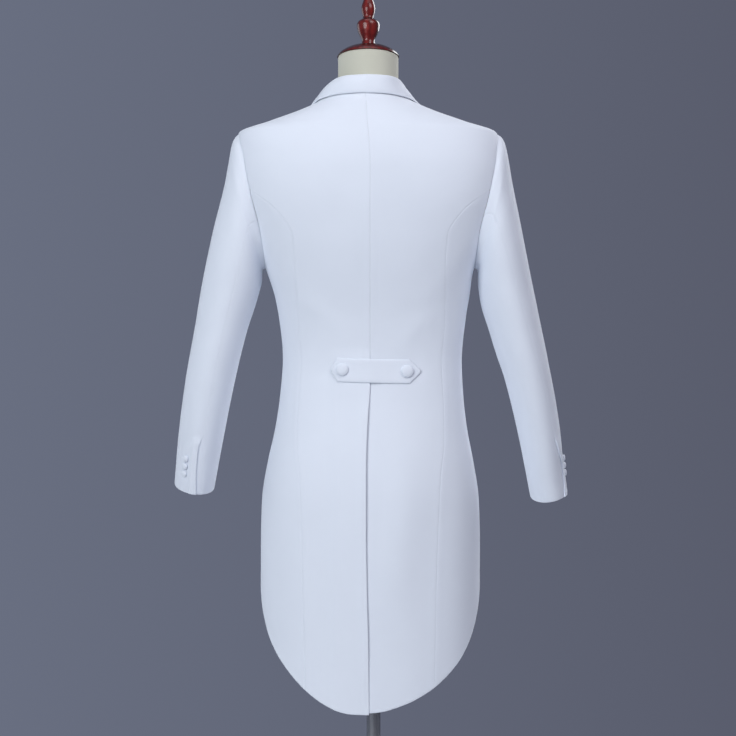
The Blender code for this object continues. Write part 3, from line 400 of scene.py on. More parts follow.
def normal(angle, z):
    turn = surface(angle + 2e-3, z) - surface(angle - 2e-3, z)
    rise = surface(angle, z + 1e-3) - surface(angle, z - 1e-3)
    return unit(np.cross(rise, turn))


def raised(angle, z, out):
    return surface(angle, z) + normal(angle, z) * np.asarray(out)[..., None]


def other_share(share, square):
    """Share of its full reach that one direction has where the other direction has this one."""
    return (1 - np.minimum(np.abs(share), 1.0) ** square) ** (1 / square)


def back_angle(x, z):
    half_width, back, _, square = section(z)
    return np.arctan2(x, back * other_share(x / half_width, square))


def front_angle(x, z):
    half_width, _, front, square = section(z)
    return pi - np.arctan2(x, front * other_share(x / half_width, square))


def side_angle(y, z):
    half_width, back, front, square = section(z)
    reach = np.where(y >= 0, back, front)
    return np.arctan2(half_width * other_share(y / reach, square), y)


def hem_height(side, angle):
    return curve(HEM[side], angle * 180 / pi)


def sit(place):
    """Moves points of the coat, or of the form in it, by how the worn coat sits."""
    x, z = place[..., 0], place[..., 2]
    share = np.minimum(1.0, (x / section(np.minimum(z, NECKLINE_Z))[0]) ** 2)
    return place + points(curve(LEAN, z) + curve(LEAN, z, 2) * share, 0.0, 0.0)


def armhole_edge(z, reach):
    """Angle of the armhole's edge at a height; a negative reach gives its front."""
    share = np.clip((z - ARMHOLE_MIDDLE_Z) / ARMHOLE_HALF_HEIGHT, -1, 1)
    return side_angle(reach * np.sqrt(1 - share * share), z)


def side_back_edge(z):
    return back_angle(curve(SIDE_BACK_SEAM, z), z)


def meeting_height():
    """Where the side-back seam runs into the armhole."""
    z = np.linspace(ARMHOLE_MIDDLE_Z - 0.02, SIDE_BACK_SEAM[-1][0], 4001)
    return z[np.argmax(side_back_edge(z) >= armhole_edge(z, ARMHOLE_BACK))]


SIDE_BACK_TOP_Z = meeting_height()


def centre_back(side):
    def edge(z):
        if side == "left":
            return back_angle(curve(VENT_EDGE, z), z)
        return back_angle(mix(-UNDERLAP, SEAM / 2, step(z, VENT_OPEN_Z, VENT_CLOSED_Z)), z)

    return edge


def back_outer_edge(z):
    edge = np.where(z <= SIDE_BACK_TOP_Z, side_back_edge(z), armhole_edge(z, ARMHOLE_BACK))
    return np.where(z >= ARMHOLE_TOP_Z, SHOULDER_ANGLE, edge)


def side_front_edge(z):
    return np.full_like(z, SIDE_FRONT_ANGLE)


def front_side_edge(z):
    armhole = armhole_edge(z, -ARMHOLE_FRONT)
    low = np.maximum(SIDE_FRONT_ANGLE, armhole)
    edge = np.where(z > ARMHOLE_MIDDLE_Z, armhole, low)
    edge = np.where(z <= ARMHOLE_BOTTOM_Z, SIDE_FRONT_ANGLE, edge)
    return np.where(z >= ARMHOLE_TOP_Z, SHOULDER_ANGLE, edge)


def roll_x(z):
    rise = np.clip((z - BREAK_Z) / (FRONT_NECK_Z - BREAK_Z), 0, 1)
    return mix(-FRONT_LAP, ROLL_TOP_X, rise)


def front_inner_edge(z):
    return front_angle(roll_x(z), z)


def flat(x, _z):
    return np.zeros_like(x)


def vent_raise(x, z):
    return LAYER_RAISE * step(z, *VENT_RAISE[0]) * step(x, *VENT_RAISE[1])


def lap_raise(x, z):
    return LAYER_RAISE * step(z, *LAP_RAISE[0]) * step(x, *LAP_RAISE[1])


def folds(across, up, rows):
    """Soft troughs and ridges that run from point to point and fade at both ends."""
    total = np.zeros(np.broadcast(across, up).shape)
    for a0, z0, a1, z1, width, depth, bend in rows:
        run = np.array([a1 - a0, z1 - z0])
        length = np.linalg.norm(run)
        run /= length
        along = ((across - a0) * run[0] + (up - z0) * run[1]) / length
        aside = (across - a0) * run[1] - (up - z0) * run[0]
        aside = aside - bend * np.sin(pi * np.clip(along, 0, 1))
        fade = step(along, -0.15, 0.35) * step(along, 1.15, 0.65)
        total += depth * fade * np.exp(-((aside / width) ** 2))
    return total


# ---- Meshes


def arc(line_points, axis):
    """Distance run along an axis of a grid of points."""
    hop = np.linalg.norm(np.diff(line_points, axis=axis), axis=-1)
    total = np.cumsum(hop, axis=axis)
    return np.concatenate([np.zeros_like(np.take(total, [0], axis=axis)), total], axis=axis)


def link(name, mesh, materials):
    thing = bpy.data.objects.new(name, mesh)
    bpy.context.scene.collection.objects.link(thing)
    for material in materials:
        mesh.materials.append(material)
    return thing


def smooth_mesh(name, verts, faces, sharp=50):
    mesh = bpy.data.meshes.new(name)
    mesh.from_pydata(verts.tolist(), [], faces)
    mesh.shade_smooth()
    mesh.set_sharp_from_angle(angle=radians(sharp))
    return mesh


def quads(rows, columns, wrap=False):
    r, c = np.meshgrid(np.arange(rows - 1), np.arange(columns - (0 if wrap else 1)), indexing="ij")
    right = (c + 1) % columns
    corners = (r * columns + c, (r + 1) * columns + c, (r + 1) * columns + right,
               r * columns + right)
    return np.stack([part.ravel() for part in corners], axis=-1)


def wall(name, outer, inner, materials, mirrored=False, settle=sit):
    """Two skins and the rim between them, with lengths of cloth as UV."""
    rows, columns = outer.shape[:2]
    count = rows * columns
    verts = np.concatenate([outer.reshape(-1, 3), inner.reshape(-1, 3)])
    across = arc(outer, 1)
    across = across - across[:, columns // 2:columns // 2 + 1]
    up = np.broadcast_to(arc(outer, 0)[:, columns // 2:columns // 2 + 1], across.shape)
    uv = np.stack([across, up], axis=-1).reshape(-1, 2)
    uv = np.concatenate([uv, uv])
    skin = quads(rows, columns)
    index = np.arange(count).reshape(rows, columns)
    rim = np.concatenate([index[0], index[1:, -1], index[-1, -2::-1], index[-2:0:-1, 0]])
    after = np.roll(rim, -1)
    side = np.stack([rim, after, after + count, rim + count], axis=-1)
    faces = np.concatenate([skin, skin[:, ::-1] + count, side])
    if mirrored:
        verts = verts * np.array([-1.0, 1.0, 1.0])
        faces = faces[:, ::-1]
        uv = uv * np.array([-1.0, 1.0])
    mesh = smooth_mesh(name, settle(verts), faces.tolist())
    corner = np.empty(len(mesh.loops), dtype=np.int32)
    mesh.loops.foreach_get("vertex_index", corner)
    layer = mesh.uv_layers.new(name="cloth")
    layer.data.foreach_set("uv", uv[corner].astype(np.float32).ravel())
    which = np.zeros(len(faces), dtype=np.int32)
    which[len(skin):2 * len(skin)] = 1
    mesh.polygons.foreach_set("material_index", which)
    return link(name, mesh, materials)


def edge_distance(outer):
    """Distance of each point from the four edges: low, high rows and first, last columns."""
    across, up = arc(outer, 1), arc(outer, 0)
    return up, up[-1:] - up, across, across[:, -1:] - across


def rounding(distance, depth, reach):
    return -depth * np.clip(1 - distance / reach, 0, 1) ** 2


def with_edges(count, length, near=(0.0005, 0.0011, 0.0018, 0.0028)):
    """Even shares from 0 to 1 with extra ones close to both ends of a length."""
    near = np.asarray(near) / length
    inner = np.linspace(near[-1], 1 - near[-1], count)[1:-1]
    return np.concatenate([[0], near, inner, 1 - near[::-1], [1]])


def panel(name, side, back_edge, front_edge, columns, heights, lift, materials):
    """A body panel between two edges, rounded there; heights gives its rows from its hem."""
    shares = with_edges(columns, 0.14)

    def angle_at(z, share):
        start, end = back_edge(z), front_edge(z)
        inset = SEAM / 2 / np.linalg.norm(surface((start + end) / 2, z)[..., :2], axis=-1)
        return mix(start + inset, end - inset, share)

    bottom = np.full(len(shares), HEM_START_Z)
    for _ in range(16):
        bottom = hem_height(side, angle_at(bottom, shares))
    z = heights(bottom, shares, angle_at)
    angle = angle_at(z, shares[None, :])
    place = surface(angle, z)
    x = place[..., 0]
    relief = folds(angle * BODY_RADIUS, z, BODY_FOLDS[side])
    total = lift(x, z) + relief * step(z, 1.40, 1.33)
    if name == "back_left_cloth":
        total = total + facing(x, z) + vent_swell(x, z)
    low, high, first, last = edge_distance(place)
    seam = np.minimum(first, last)
    out = rounding(seam, *SEAM_ROUNDING) + rounding(np.minimum(low, high), *HEM_ROUNDING)
    press = PRESSED_DEPTH * step(seam, *PRESSED_REACH)
    outer = raised(angle, z, total + out + press)
    inner = raised(angle, z, total - WALL - rounding(low, *HEM_INSET))
    return wall(name, outer, inner, materials, side == "right")


def facing(x, z):
    """The turned-in edge of the vent shows as a shallow step along its stitching."""
    return FACING_STEP * step(x, *FACING_X) * step(z, 1.00, 0.985) * step(z, 0.60, 0.75)


def vent_swell(x, z):
    """The free edge of the vent stands off a little."""
    ease = (x - curve(VENT_EDGE, z)) / VENT_SWELL_WIDTH
    return VENT_SWELL * np.exp(-(ease**2)) * step(z, 0.985, VENT_FULL_Z) * step(z, 0.47, 0.60)


def fixed_rows(low, high, pitch):
    return np.linspace(low, high, max(2, int(round((high - low) / pitch)) + 1))


def body_rows(top, join):
    """Rows of a panel that goes up to the neck: level above the join, closer on the shoulder."""

    def heights(bottom, shares, _angle_at):
        low = with_edges(int((join - 0.45) / 0.0045), 0.15)[:, None]
        low = mix(bottom[None, :], join, low[low[:, 0] < 0.999])
        up = [fixed_rows(join, SHOULDER_Z, 0.0042), fixed_rows(SHOULDER_Z, ARMHOLE_TOP_Z, 0.0018),
              fixed_rows(ARMHOLE_TOP_Z, top, 0.0011)]
        level = np.unique(np.round(np.concatenate(up), 6))
        return np.concatenate([low, np.repeat(level[:, None], len(shares), axis=1)])

    return heights


def side_rows(bottom, shares, angle_at):
    low = np.full(len(shares), ARMHOLE_BOTTOM_Z - 0.06)
    high = np.full(len(shares), ARMHOLE_MIDDLE_Z + 0.02)
    for _ in range(40):
        z = (low + high) / 2
        y = surface(angle_at(z, shares), z)[..., 1]
        reach = np.where(y >= 0, ARMHOLE_BACK, ARMHOLE_FRONT)
        inside = (y / reach) ** 2 + ((z - ARMHOLE_MIDDLE_Z) / ARMHOLE_HALF_HEIGHT) ** 2 < 1
        low, high = np.where(inside, low, z), np.where(inside, z, high)
    rows = with_edges(150, 0.70)[:, None]
    return mix(bottom[None, :], low[None, :], rows)


def build_body(cloth):
    parts = {}
    for side in ("left", "right"):
        left = side == "left"
        rows = (
            ("back", centre_back(side), back_outer_edge, 46, body_rows(NECKLINE_Z, 0.62),
             vent_raise if left else flat),
            ("side", side_back_edge, side_front_edge, 46, side_rows, flat),
            ("front", front_side_edge, front_inner_edge, 46, body_rows(FRONT_NECK_Z, 1.095),
             lap_raise if left else flat),
        )
        for name, back_edge, front_edge, columns, heights, lift in rows:
            whole = f"{name}_{side}"
            parts[whole] = panel(whole + "_cloth", side, back_edge, front_edge, columns, heights,
                                 lift, cloth)
    return parts


# ---- Sleeves


def armhole_point(turn, shrink, depth):
    reach = np.where(np.sin(turn) >= 0, ARMHOLE_BACK, ARMHOLE_FRONT)
    y = (reach - shrink) * np.sin(turn)
    z = ARMHOLE_MIDDLE_Z + (ARMHOLE_HALF_HEIGHT - shrink) * np.cos(turn)
    angle = side_angle(y, z)
    return raised(angle, z, np.full_like(z, -depth))


def sleeve_values(side, row):
    table = [(i, *values) for i, values in enumerate(SLEEVE_SECTIONS)]
    outer_z, inner_z, half_depth, middle_y, drop = (
        curve(table, row, column) for column in (1, 2, 3, 4, 5)
    )
    share = np.maximum(0.0, (row - EXTRA_DROP_FROM_ROW) / (SLEEVE_ROWS - EXTRA_DROP_FROM_ROW))
    outer_z = outer_z - CUFF_EXTRA_DROP[side] * share
    inner_z = inner_z - CUFF_EXTRA_DROP[side] * share
    return (curve(OUTER_LINE[side], outer_z), outer_z, curve(INNER_LINE[side], inner_z), inner_z,
            half_depth, middle_y, drop)


def plain_sleeve(side, row, turn):
    outer_x, outer_z, inner_x, inner_z, half_depth, middle_y, drop = sleeve_values(side, row)
    x = (outer_x + inner_x) / 2 + np.cos(turn) * (outer_x - inner_x) / 2
    z = (outer_z + inner_z) / 2 + np.cos(turn) * (outer_z - inner_z) / 2
    return points(x, middle_y + np.sin(turn) * half_depth, z - np.sin(turn) * half_depth * drop)


def sleeve(side, row, turn):
    point = plain_sleeve(side, row, turn)
    start = armhole_point(turn, ARMHOLE_GAP, WALL / 4)
    share = 1 - step(row, 0.0, BLEND_ROWS)
    return point + (start - plain_sleeve(side, np.zeros_like(row), turn)) * share[..., None]


def sleeve_normal(side, row, turn):
    before, after = np.maximum(0.0, row - 0.03), np.minimum(float(SLEEVE_ROWS), row + 0.03)
    along = sleeve(side, after, turn) - sleeve(side, before, turn)
    across = sleeve(side, row, turn + 0.01) - sleeve(side, row, turn - 0.01)
    return unit(np.cross(along, across))


def sit_sleeve(place):
    """A sleeve moves with the coat at its head alone."""
    share = step(place[..., 2:], SLEEVE_SIT_Z, ARMHOLE_MIDDLE_Z)
    return place + (sit(place) - place) * share


def build_sleeves(cloth):
    parts = {}
    rows = np.concatenate([np.arange(0, 0.5, 0.06), np.arange(0.5, 4, 0.14),
                           np.arange(4, 14.8, 0.085), [14.85, 14.9, 14.94, 14.97, 15.0]])
    for side in ("left", "right"):
        hind = np.radians(curve(HIND_SEAM[side], rows))
        fore = np.radians(curve(FORE_SEAM[side], rows))
        inset = SEAM / 2 / sleeve_values(side, rows)[4]
        for name, start, end, columns in (
            ("top_sleeve", fore, hind, 74), ("under_sleeve", hind, fore + 2 * pi, 50),
        ):
            shares = with_edges(columns, 0.15)
            turn = mix((start + inset)[:, None], (end - inset)[:, None], shares[None, :])
            row = np.broadcast_to(rows[:, None], turn.shape)
            base, out = sleeve(side, row, turn), sleeve_normal(side, row, turn)
            low, high, first, last = edge_distance(base)
            seam = np.minimum(first, last)
            lift = rounding(seam, *SEAM_ROUNDING) + rounding(low, *HEAD_ROUNDING)
            lift = lift + rounding(high, *HEM_ROUNDING)
            wrapped = np.where(turn > pi, turn - 2 * pi, turn)
            lift = lift + folds(wrapped * SLEEVE_RADIUS, base[..., 2], SLEEVE_FOLDS[side])
            near_hind = last if name == "top_sleeve" else first
            vent = step(near_hind, *CUFF_VENT_X) * step(base[..., 2], *CUFF_VENT_Z)
            lift = lift + vent * CUFF_VENT_LIFT[name]
            outer = base + out * lift[..., None]
            thick = WALL + rounding(high, *HEM_INSET) - vent * 0.0006
            inner = base - out * thick[..., None]
            piece = f"{name}_{side}"
            parts[piece] = wall(piece + "_cloth", outer, inner, cloth, side == "right", sit_sleeve)
    return parts


# ---- Collar, lapels and belt


def collar_lines(station, across):
    """Lines across the collar fall; below 0 the line goes over the fold and down inside."""
    table = [(i, *values) for i, values in enumerate(COLLAR_STATIONS)]
    x, y, z, edge_angle, edge_z = (curve(table, station, c) for c in (1, 2, 3, 4, 5))
    angle = np.radians(edge_angle)
    fold = points(x, y, z)
    edge = raised(angle, edge_z, np.full_like(z, COLLAR_EDGE_LIFT + WALL))
    out = unit(points(edge[:, 0] - x, edge[:, 1] - y, 0.0))
    behind, aside = step(station, 5.0, 3.5), step(station, 0.6, 2.0)
    first = fold + out * mix(*COLLAR_BELLY, aside)[:, None]
    bulge, hang = mix(*COLLAR_BULGE, aside)[:, None], mix(*COLLAR_HANG, aside) * behind
    second = edge + normal(angle, edge_z) * bulge + points(0.0, 0.0, hang)
    s = np.clip(across, 0, 1)[:, None, None]
    fall = fold * (1 - s) ** 3 + first * 3 * s * (1 - s) ** 2 + second * 3 * s * s * (1 - s)
    fall = fall + edge * s**3
    under = np.clip(-across, 0, 1)[:, None, None]
    turn = under * pi * 0.55
    down = points(0.0, 0.0, COLLAR_FOLD_DROP) * (1 - np.cos(turn))
    return fall - out * np.sin(turn) * COLLAR_FOLD_HALF - down


def grid_normal(grid):
    rise = np.gradient(grid, axis=0)
    turn = np.gradient(grid, axis=1)
    return unit(np.cross(rise, turn))


def build_collar(cloth):
    last = len(COLLAR_STATIONS) - 1
    half = np.linspace(0, last, 85)
    across = np.concatenate([np.linspace(-1, 0, 7)[:-1], np.linspace(0, 1, 27)[:-1],
                             [0.975, 0.99, 1.0]])
    lines = collar_lines(half, across)
    other = lines[:, :0:-1] * np.array([-1.0, 1.0, 1.0])
    grid = np.concatenate([other, lines], axis=1)[::-1]
    out = grid_normal(grid)
    low, _, first, end = edge_distance(grid)
    edge = np.minimum(np.minimum(low, first), end)
    outer = grid + out * rounding(edge, *FOLDED_EDGE)[..., None]
    inner = grid - out * (WALL + rounding(edge, FOLDED_EDGE[0] / 2, FOLDED_EDGE[1]))[..., None]
    fall = wall("collar_cloth", outer, inner, cloth)

    table = [(radians(r[3]), r[0], r[1], r[2]) for r in COLLAR_STATIONS]
    turn = np.linspace(-radians(100), radians(100), 121)
    x, y, z = (curve(table, np.abs(turn), c) for c in (1, 2, 3))
    foot = surface(turn, np.full_like(turn, NECKLINE_Z)) + np.array([0, 0, LAYER_GAP])
    head = points(np.sign(turn) * x, y, z - 0.0045)
    share = np.linspace(0, 1, 13)[:, None, None]
    grid = mix(foot[None], head[None], share)
    out = grid_normal(grid)
    stand = wall("collar_stand_cloth", grid, grid - out * WALL, cloth)
    return {"collar": fall, "collar_stand": stand}


def build_lapels(cloth):
    parts = {}
    for side in ("left", "right"):
        left = side == "left"
        share = 1 - with_edges(40, 0.09)
        rise = with_edges(110, 0.35)[:, None]
        z = mix(LAPEL_FOOT_Z, curve(LAPEL_TOP, share)[None, :], rise)
        inner_x = roll_x(z) if left else np.abs(roll_x(z)) + SEAM
        outer_x = np.maximum(curve(LAPEL_EDGE, z), inner_x + LAPEL_LEAST)
        x = mix(inner_x, outer_x, share[None, :])
        lift = LAPEL_GAP + WALL + (lap_raise(x, z) if left else 0.0)
        angle = front_angle(x, z)
        low, high, first, last = edge_distance(surface(angle, z))
        belly = LAPEL_BELLY * np.sin(pi * share)[None, :] * step(rise, 0.05, 0.5)
        edge = np.minimum(np.minimum(low, high), first)
        roll = rounding(last, *LAPEL_ROLL)
        outer = raised(angle, z, lift + belly + roll + rounding(edge, *FOLDED_EDGE))
        inner = raised(angle, z, lift - WALL + roll * 0.8)
        parts[f"lapel_{side}"] = wall(f"lapel_{side}_cloth", outer, inner, cloth, not left)
    return parts


def belt_lift(x):
    left = vent_raise(x, VENT_CLOSED_Z - 0.01)
    right = LAYER_RAISE * step(x, -BELT_STEP_X, 0.0)
    return np.where(x >= 0, left, right) + LAYER_GAP + WALL


def belt_half_height(x):
    room = (BELT_HALF_LENGTH - np.abs(x)) / np.where(x > 0, BELT_LEFT_POINT, BELT_RIGHT_POINT)
    return BELT_HALF_HEIGHT * np.clip(mix(0.10, 1.0, room), 0.0, 1.0)


def belt_place(x, up):
    """Distance from the centre back, and height; x and up are counted from the belt's middle."""
    middle = BELT_Z + BELT_BOW * (x / BELT_HALF_LENGTH) ** 2 + BELT_SLOPE * x
    return x + BELT_MIDDLE_X, middle + up


def build_belt(cloth):
    x = np.sort(np.concatenate([
        BELT_HALF_LENGTH * (2 * with_edges(64, 0.149) - 1),
        [BELT_RIGHT_POINT - BELT_HALF_LENGTH, BELT_HALF_LENGTH - BELT_LEFT_POINT],
    ]))[None, :]
    up = (2 * with_edges(16, 0.039) - 1)[:, None] * belt_half_height(x)
    place, z = belt_place(np.broadcast_to(x, up.shape), up)
    angle = back_angle(place, z)
    edge = np.minimum.reduce(edge_distance(surface(angle, z)))
    depth, middle, width = BELT_STITCH
    stitch = depth * np.exp(-(((edge - middle) / width) ** 2))
    puff = BELT_PUFF * step(edge, 0.0, middle) - stitch
    lift = belt_lift(place)
    outer = raised(angle, z, lift + rounding(edge, *BELT_ROUNDING) + puff)
    inner = raised(angle, z, lift - WALL)
    return {"half_belt": wall("half_belt_cloth", outer, inner, cloth)}


# ---- Turned pieces


def smooth_profile(profile, pitch, keep=35):
    """A finer profile that rounds gentle corners of a turned outline and keeps sharp ones."""
    rows = np.asarray(profile, float)
    hop = np.diff(rows, axis=0)
    heading = unit(hop)
    corner = [0]
    for i in range(1, len(rows) - 1):
        if heading[i - 1] @ heading[i] < cos(radians(keep)):
            corner.append(i)
    corner.append(len(rows) - 1)
    out = []
    for a, b in zip(corner[:-1], corner[1:]):
        part = rows[a:b + 1]
        along = np.concatenate([[0], np.cumsum(np.linalg.norm(np.diff(part, axis=0), axis=1))])
        at = np.linspace(0, along[-1], max(2, int(along[-1] / pitch) + 1))
        line = np.stack([np.interp(at, along, part[:, k]) for k in (0, 1)], axis=1)
        if len(part) > 2:
            for _ in range(int(3 + 0.002 / pitch)):
                line[1:-1] = (line[:-2] + 2 * line[1:-1] + line[2:]) / 4
        out.append(line if a == 0 else line[1:])
    return np.concatenate(out)


def turned(name, profile, material, place, axis, steps, relief=None):
    """A turned piece from the top centre down to the bottom centre."""
    turn = np.arange(steps) * 2 * pi / steps
    radius, height = profile[1:-1, 0][:, None], profile[1:-1, 1][:, None]
    if relief is not None:
        radius, height = relief(radius, height, turn[None, :])
    ring = points(radius * np.cos(turn), radius * np.sin(turn), height)
    rows = ring.shape[0]
    verts = np.concatenate([ring.reshape(-1, 3), [[0, 0, profile[0, 1]], [0, 0, profile[-1, 1]]]])
    top, bottom = len(verts) - 2, len(verts) - 1
    faces = quads(rows, steps, wrap=True).tolist()
    faces += [[top, i, (i + 1) % steps] for i in range(steps)]
    foot = (rows - 1) * steps
    faces += [[bottom, foot + (i + 1) % steps, foot + i] for i in range(steps)]
    spin = np.array(Vector(axis).to_track_quat("Z", "Y").to_matrix())
    verts = verts @ spin.T + np.asarray(place)
    return link(name, smooth_mesh(name, verts, faces, 40), [material])


def gathers(radius, height, turn):
    """The cloth is drawn in under the button's edge in small pleats."""
    low = step(height, height.max() * 0.35, 0.0)
    return radius + low * PLEAT_DEPTH * np.cos(turn * PLEATS), height + turn * 0


def build_buttons(material):
    parts = {}
    sizes = {"belt": BELT_BUTTON, "cuff": CUFF_BUTTON, "front": FRONT_BUTTON}
    places = []
    for side in ("left", "right"):
        x = np.array(BELT_BUTTON_X[side])
        z = belt_place(x - BELT_MIDDLE_X, 0.0)[1]
        angle = back_angle(x, z)
        place = sit(raised(angle, z, belt_lift(x) + BUTTON_GAP))
        places.append((f"belt_button_{side}", "belt", place, normal(angle, z)))
        turn = np.array(radians(CUFF_BUTTON_ANGLE[side]))
        rows = np.linspace(6, SLEEVE_ROWS, 3000)
        heights = sleeve(side, rows, np.full_like(rows, turn))[:, 2]
        for number, height in enumerate(CUFF_BUTTON_Z, start=1):
            row = np.array([np.interp(-height, -heights, rows)])
            axis = sleeve_normal(side, row, turn[None])[0]
            place = sleeve(side, row, turn[None])[0] + axis * 0.0006
            flip = np.array([-1 if side == "right" else 1, 1, 1])
            places.append((f"cuff_button_{side}_{number}", "cuff", place * flip, axis * flip))
    angle = front_angle(np.array(0.0), WAIST_BUTTON_Z)
    z = np.array(WAIST_BUTTON_Z)
    places.append(("front_button", "front", raised(angle, z, LAYER_RAISE + BUTTON_GAP),
                   normal(angle, z)))
    for name, kind, place, axis in places:
        profile = smooth_profile(np.array(BUTTON_PROFILE) * sizes[kind], 0.0006, 60)
        parts[name] = turned(name + "_covered", profile, material, place, axis, 48, gathers)
    return parts


# ---- Dress form and stand


def build_form(cover):
    around = 144
    turn = np.arange(around) * 2 * pi / around
    z = np.concatenate([fixed_rows(0.806, 1.39, 0.008), fixed_rows(1.393, 1.476, 0.0025)])[:, None]
    *full, square = section(z + 0.001)
    half_width, back, front = (r - curve(FORM_EASE, z, c) for c, r in enumerate(full, start=1))
    reach = np.where(np.cos(turn) >= 0, back, front)
    radius = (np.abs(np.sin(turn)) / half_width) ** square
    radius = (radius + (np.abs(np.cos(turn)) / reach) ** square) ** (-1 / square)
    for seam in (0, radians(38), -radians(38), pi, pi - 0.62, pi + 0.62):
        aside = np.angle(np.exp(1j * (turn - seam))) * FORM_RADIUS / FORM_SEAM_WIDTH
        radius = radius - FORM_SEAM_DEPTH * np.exp(-(aside**2))
    body = sit(points(radius * np.sin(turn), radius * np.cos(turn), z))
    foot = body[:1] * np.array([0.97, 0.97, 1.0])
    foot[..., 2] = FORM_BOTTOM_Z
    rings = [foot, body]
    for level, widen, tilt, shift in NECK_RINGS:
        x = (NECK_RADIUS + widen) * np.sin(turn) + NECK_MIDDLE_X + shift
        y = (NECK_RADIUS + widen) * np.cos(turn)
        rings.append(points(x, y + NECK_MIDDLE_Y, level + y * tilt)[None])
    grid = np.concatenate(rings)
    verts = grid.reshape(-1, 3)
    faces = quads(len(grid), around, wrap=True).tolist()
    faces += [range(around), range(len(verts) - 1, len(verts) - around - 1, -1)]
    name = "dress_form_cover"
    return {"dress_form": link(name, smooth_mesh(name, verts, faces), [cover])}


def build_stand(wood):
    tilt = (0.0, -sin(NECK_TILT), cos(NECK_TILT))
    seat = Vector((NECK_MIDDLE_X, NECK_MIDDLE_Y, NECK_TOP_Z)) + Vector(tilt) * JOINT_GAP
    foot = seat + Vector(tilt) * (CAP_PROFILE[0][1] + JOINT_GAP)
    cap = turned("neck_cap_wood", smooth_profile(CAP_PROFILE, 0.0009), wood, seat, tilt, 128)
    finial = turned("finial_wood", smooth_profile(FINIAL_PROFILE, 0.0007), wood, foot, tilt, 96)
    return {"neck_cap": cap, "finial": finial}


# ---- Materials


def shader_material(name, colour, roughness, metallic=0.0, **sockets):
    material = bpy.data.materials.new(name)
    material.use_nodes = True
    nodes = material.node_tree.nodes
    shader = nodes["Principled BSDF"]
    shader.inputs["Base Color"].default_value = (*colour, 1.0)
    shader.inputs["Roughness"].default_value = roughness
    shader.inputs["Metallic"].default_value = metallic
    for socket, value in sockets.items():
        shader.inputs[socket.replace("_", " ")].default_value = value
    return material, material.node_tree, shader


def add_node(tree, kind, **values):
    node = tree.nodes.new(kind)
    for key, value in values.items():
        if hasattr(node, key):
            setattr(node, key, value)
        else:
            node.inputs[key.replace("_", " ")].default_value = value
    return node


def maths(tree, operation, a, b=None):
    node = tree.nodes.new("ShaderNodeMath")
    node.operation = operation
    for index, value in enumerate((a, b)):
        if value is None:
            continue
        if isinstance(value, (int, float)):
            node.inputs[index].default_value = value
        else:
            tree.links.new(value, node.inputs[index])
    return node.outputs[0]


def weighted(tree, *pairs):
    """Sum of values, each times its weight."""
    total = None
    for value, weight in pairs:
        term = maths(tree, "MULTIPLY", value, weight)
        total = term if total is None else maths(tree, "ADD", total, term)
    return total


def mix_colour(tree, factor, first, second, socket):
    node = tree.nodes.new("ShaderNodeMix")
    node.data_type = "RGBA"
    tree.links.new(factor, node.inputs[0])
    node.inputs[6].default_value = (*first, 1.0)
    node.inputs[7].default_value = (*second, 1.0)
    tree.links.new(node.outputs[2], socket)


def noise(tree, place, scale, detail, roughness):
    node = add_node(tree, "ShaderNodeTexNoise", Scale=scale, Detail=detail, Roughness=roughness)
    tree.links.new(place, node.inputs["Vector"])
    return node.outputs[0]


def bump(tree, shader, height, strength, distance):
    node = add_node(tree, "ShaderNodeBump", Strength=strength, Distance=distance)
    tree.links.new(height, node.inputs["Height"])
    tree.links.new(node.outputs[0], shader.inputs["Normal"])


def object_place(tree, scale=(1.0, 1.0, 1.0)):
    stretch = add_node(tree, "ShaderNodeMapping")
    stretch.inputs["Scale"].default_value = scale
    place = tree.nodes.new("ShaderNodeTexCoord")
    tree.links.new(place.outputs["Object"], stretch.inputs["Vector"])
    return stretch.outputs[0]


def weave(tree, pitch, twill):
    """Height of a fine weave laid along the cloth's own lengths; twill slants it."""
    place = tree.nodes.new("ShaderNodeUVMap")
    place.uv_map = "cloth"
    split = tree.nodes.new("ShaderNodeSeparateXYZ")
    tree.links.new(place.outputs[0], split.inputs[0])
    across, up = split.outputs[0], split.outputs[1]
    slant = maths(tree, "ADD", across, maths(tree, "MULTIPLY", up, twill))
    warp, weft = (
        maths(tree, "SINE", maths(tree, "MULTIPLY", run, 2 * pi / pitch)) for run in (slant, up)
    )
    return place.outputs[0], weighted(tree, (warp, 0.6), (weft, 0.4))


def cloth_material(name, colour, shade, pitch, twill, strength, roughness, sheen):
    material, tree, shader = shader_material(
        name, colour, roughness, Sheen_Weight=sheen, Sheen_Roughness=0.45, Specular_IOR_Level=0.28
    )
    place, height = weave(tree, pitch, twill)
    coarse, slub = noise(tree, place, 9.0, 3.0, 0.55), noise(tree, place, 900.0, 2.0, 0.6)
    # The colour mottles at random and with the slubs, and darkens in the weave's low threads:
    # painted shade in the weave's hollows
    blend = weighted(tree, (coarse, 0.55), (slub, 0.30), (height, -0.10))
    mix_colour(tree, blend, colour, shade, shader.inputs["Base Color"])
    rough = maths(tree, "ADD", maths(tree, "MULTIPLY", slub, 0.10), roughness - 0.05)
    tree.links.new(rough, shader.inputs["Roughness"])
    bump(tree, shader, weighted(tree, (height, 1.0), (slub, 1.6)), strength, 0.00012)
    return material


def object_cloth(name, colour, shade, roughness):
    """Close jersey cloth that needs no lengths: fine mottling with a fine bump."""
    material, tree, shader = shader_material(
        name, colour, roughness, Sheen_Weight=0.15, Sheen_Roughness=0.5, Specular_IOR_Level=0.25
    )
    place = object_place(tree)
    fine, broad = noise(tree, place, 1400.0, 2.0, 0.6), noise(tree, place, 14.0, 4.0, 0.6)
    blend = weighted(tree, (fine, 0.5), (broad, 0.5))
    mix_colour(tree, blend, colour, shade, shader.inputs["Base Color"])
    bump(tree, shader, fine, 0.5, 0.0002)
    return material


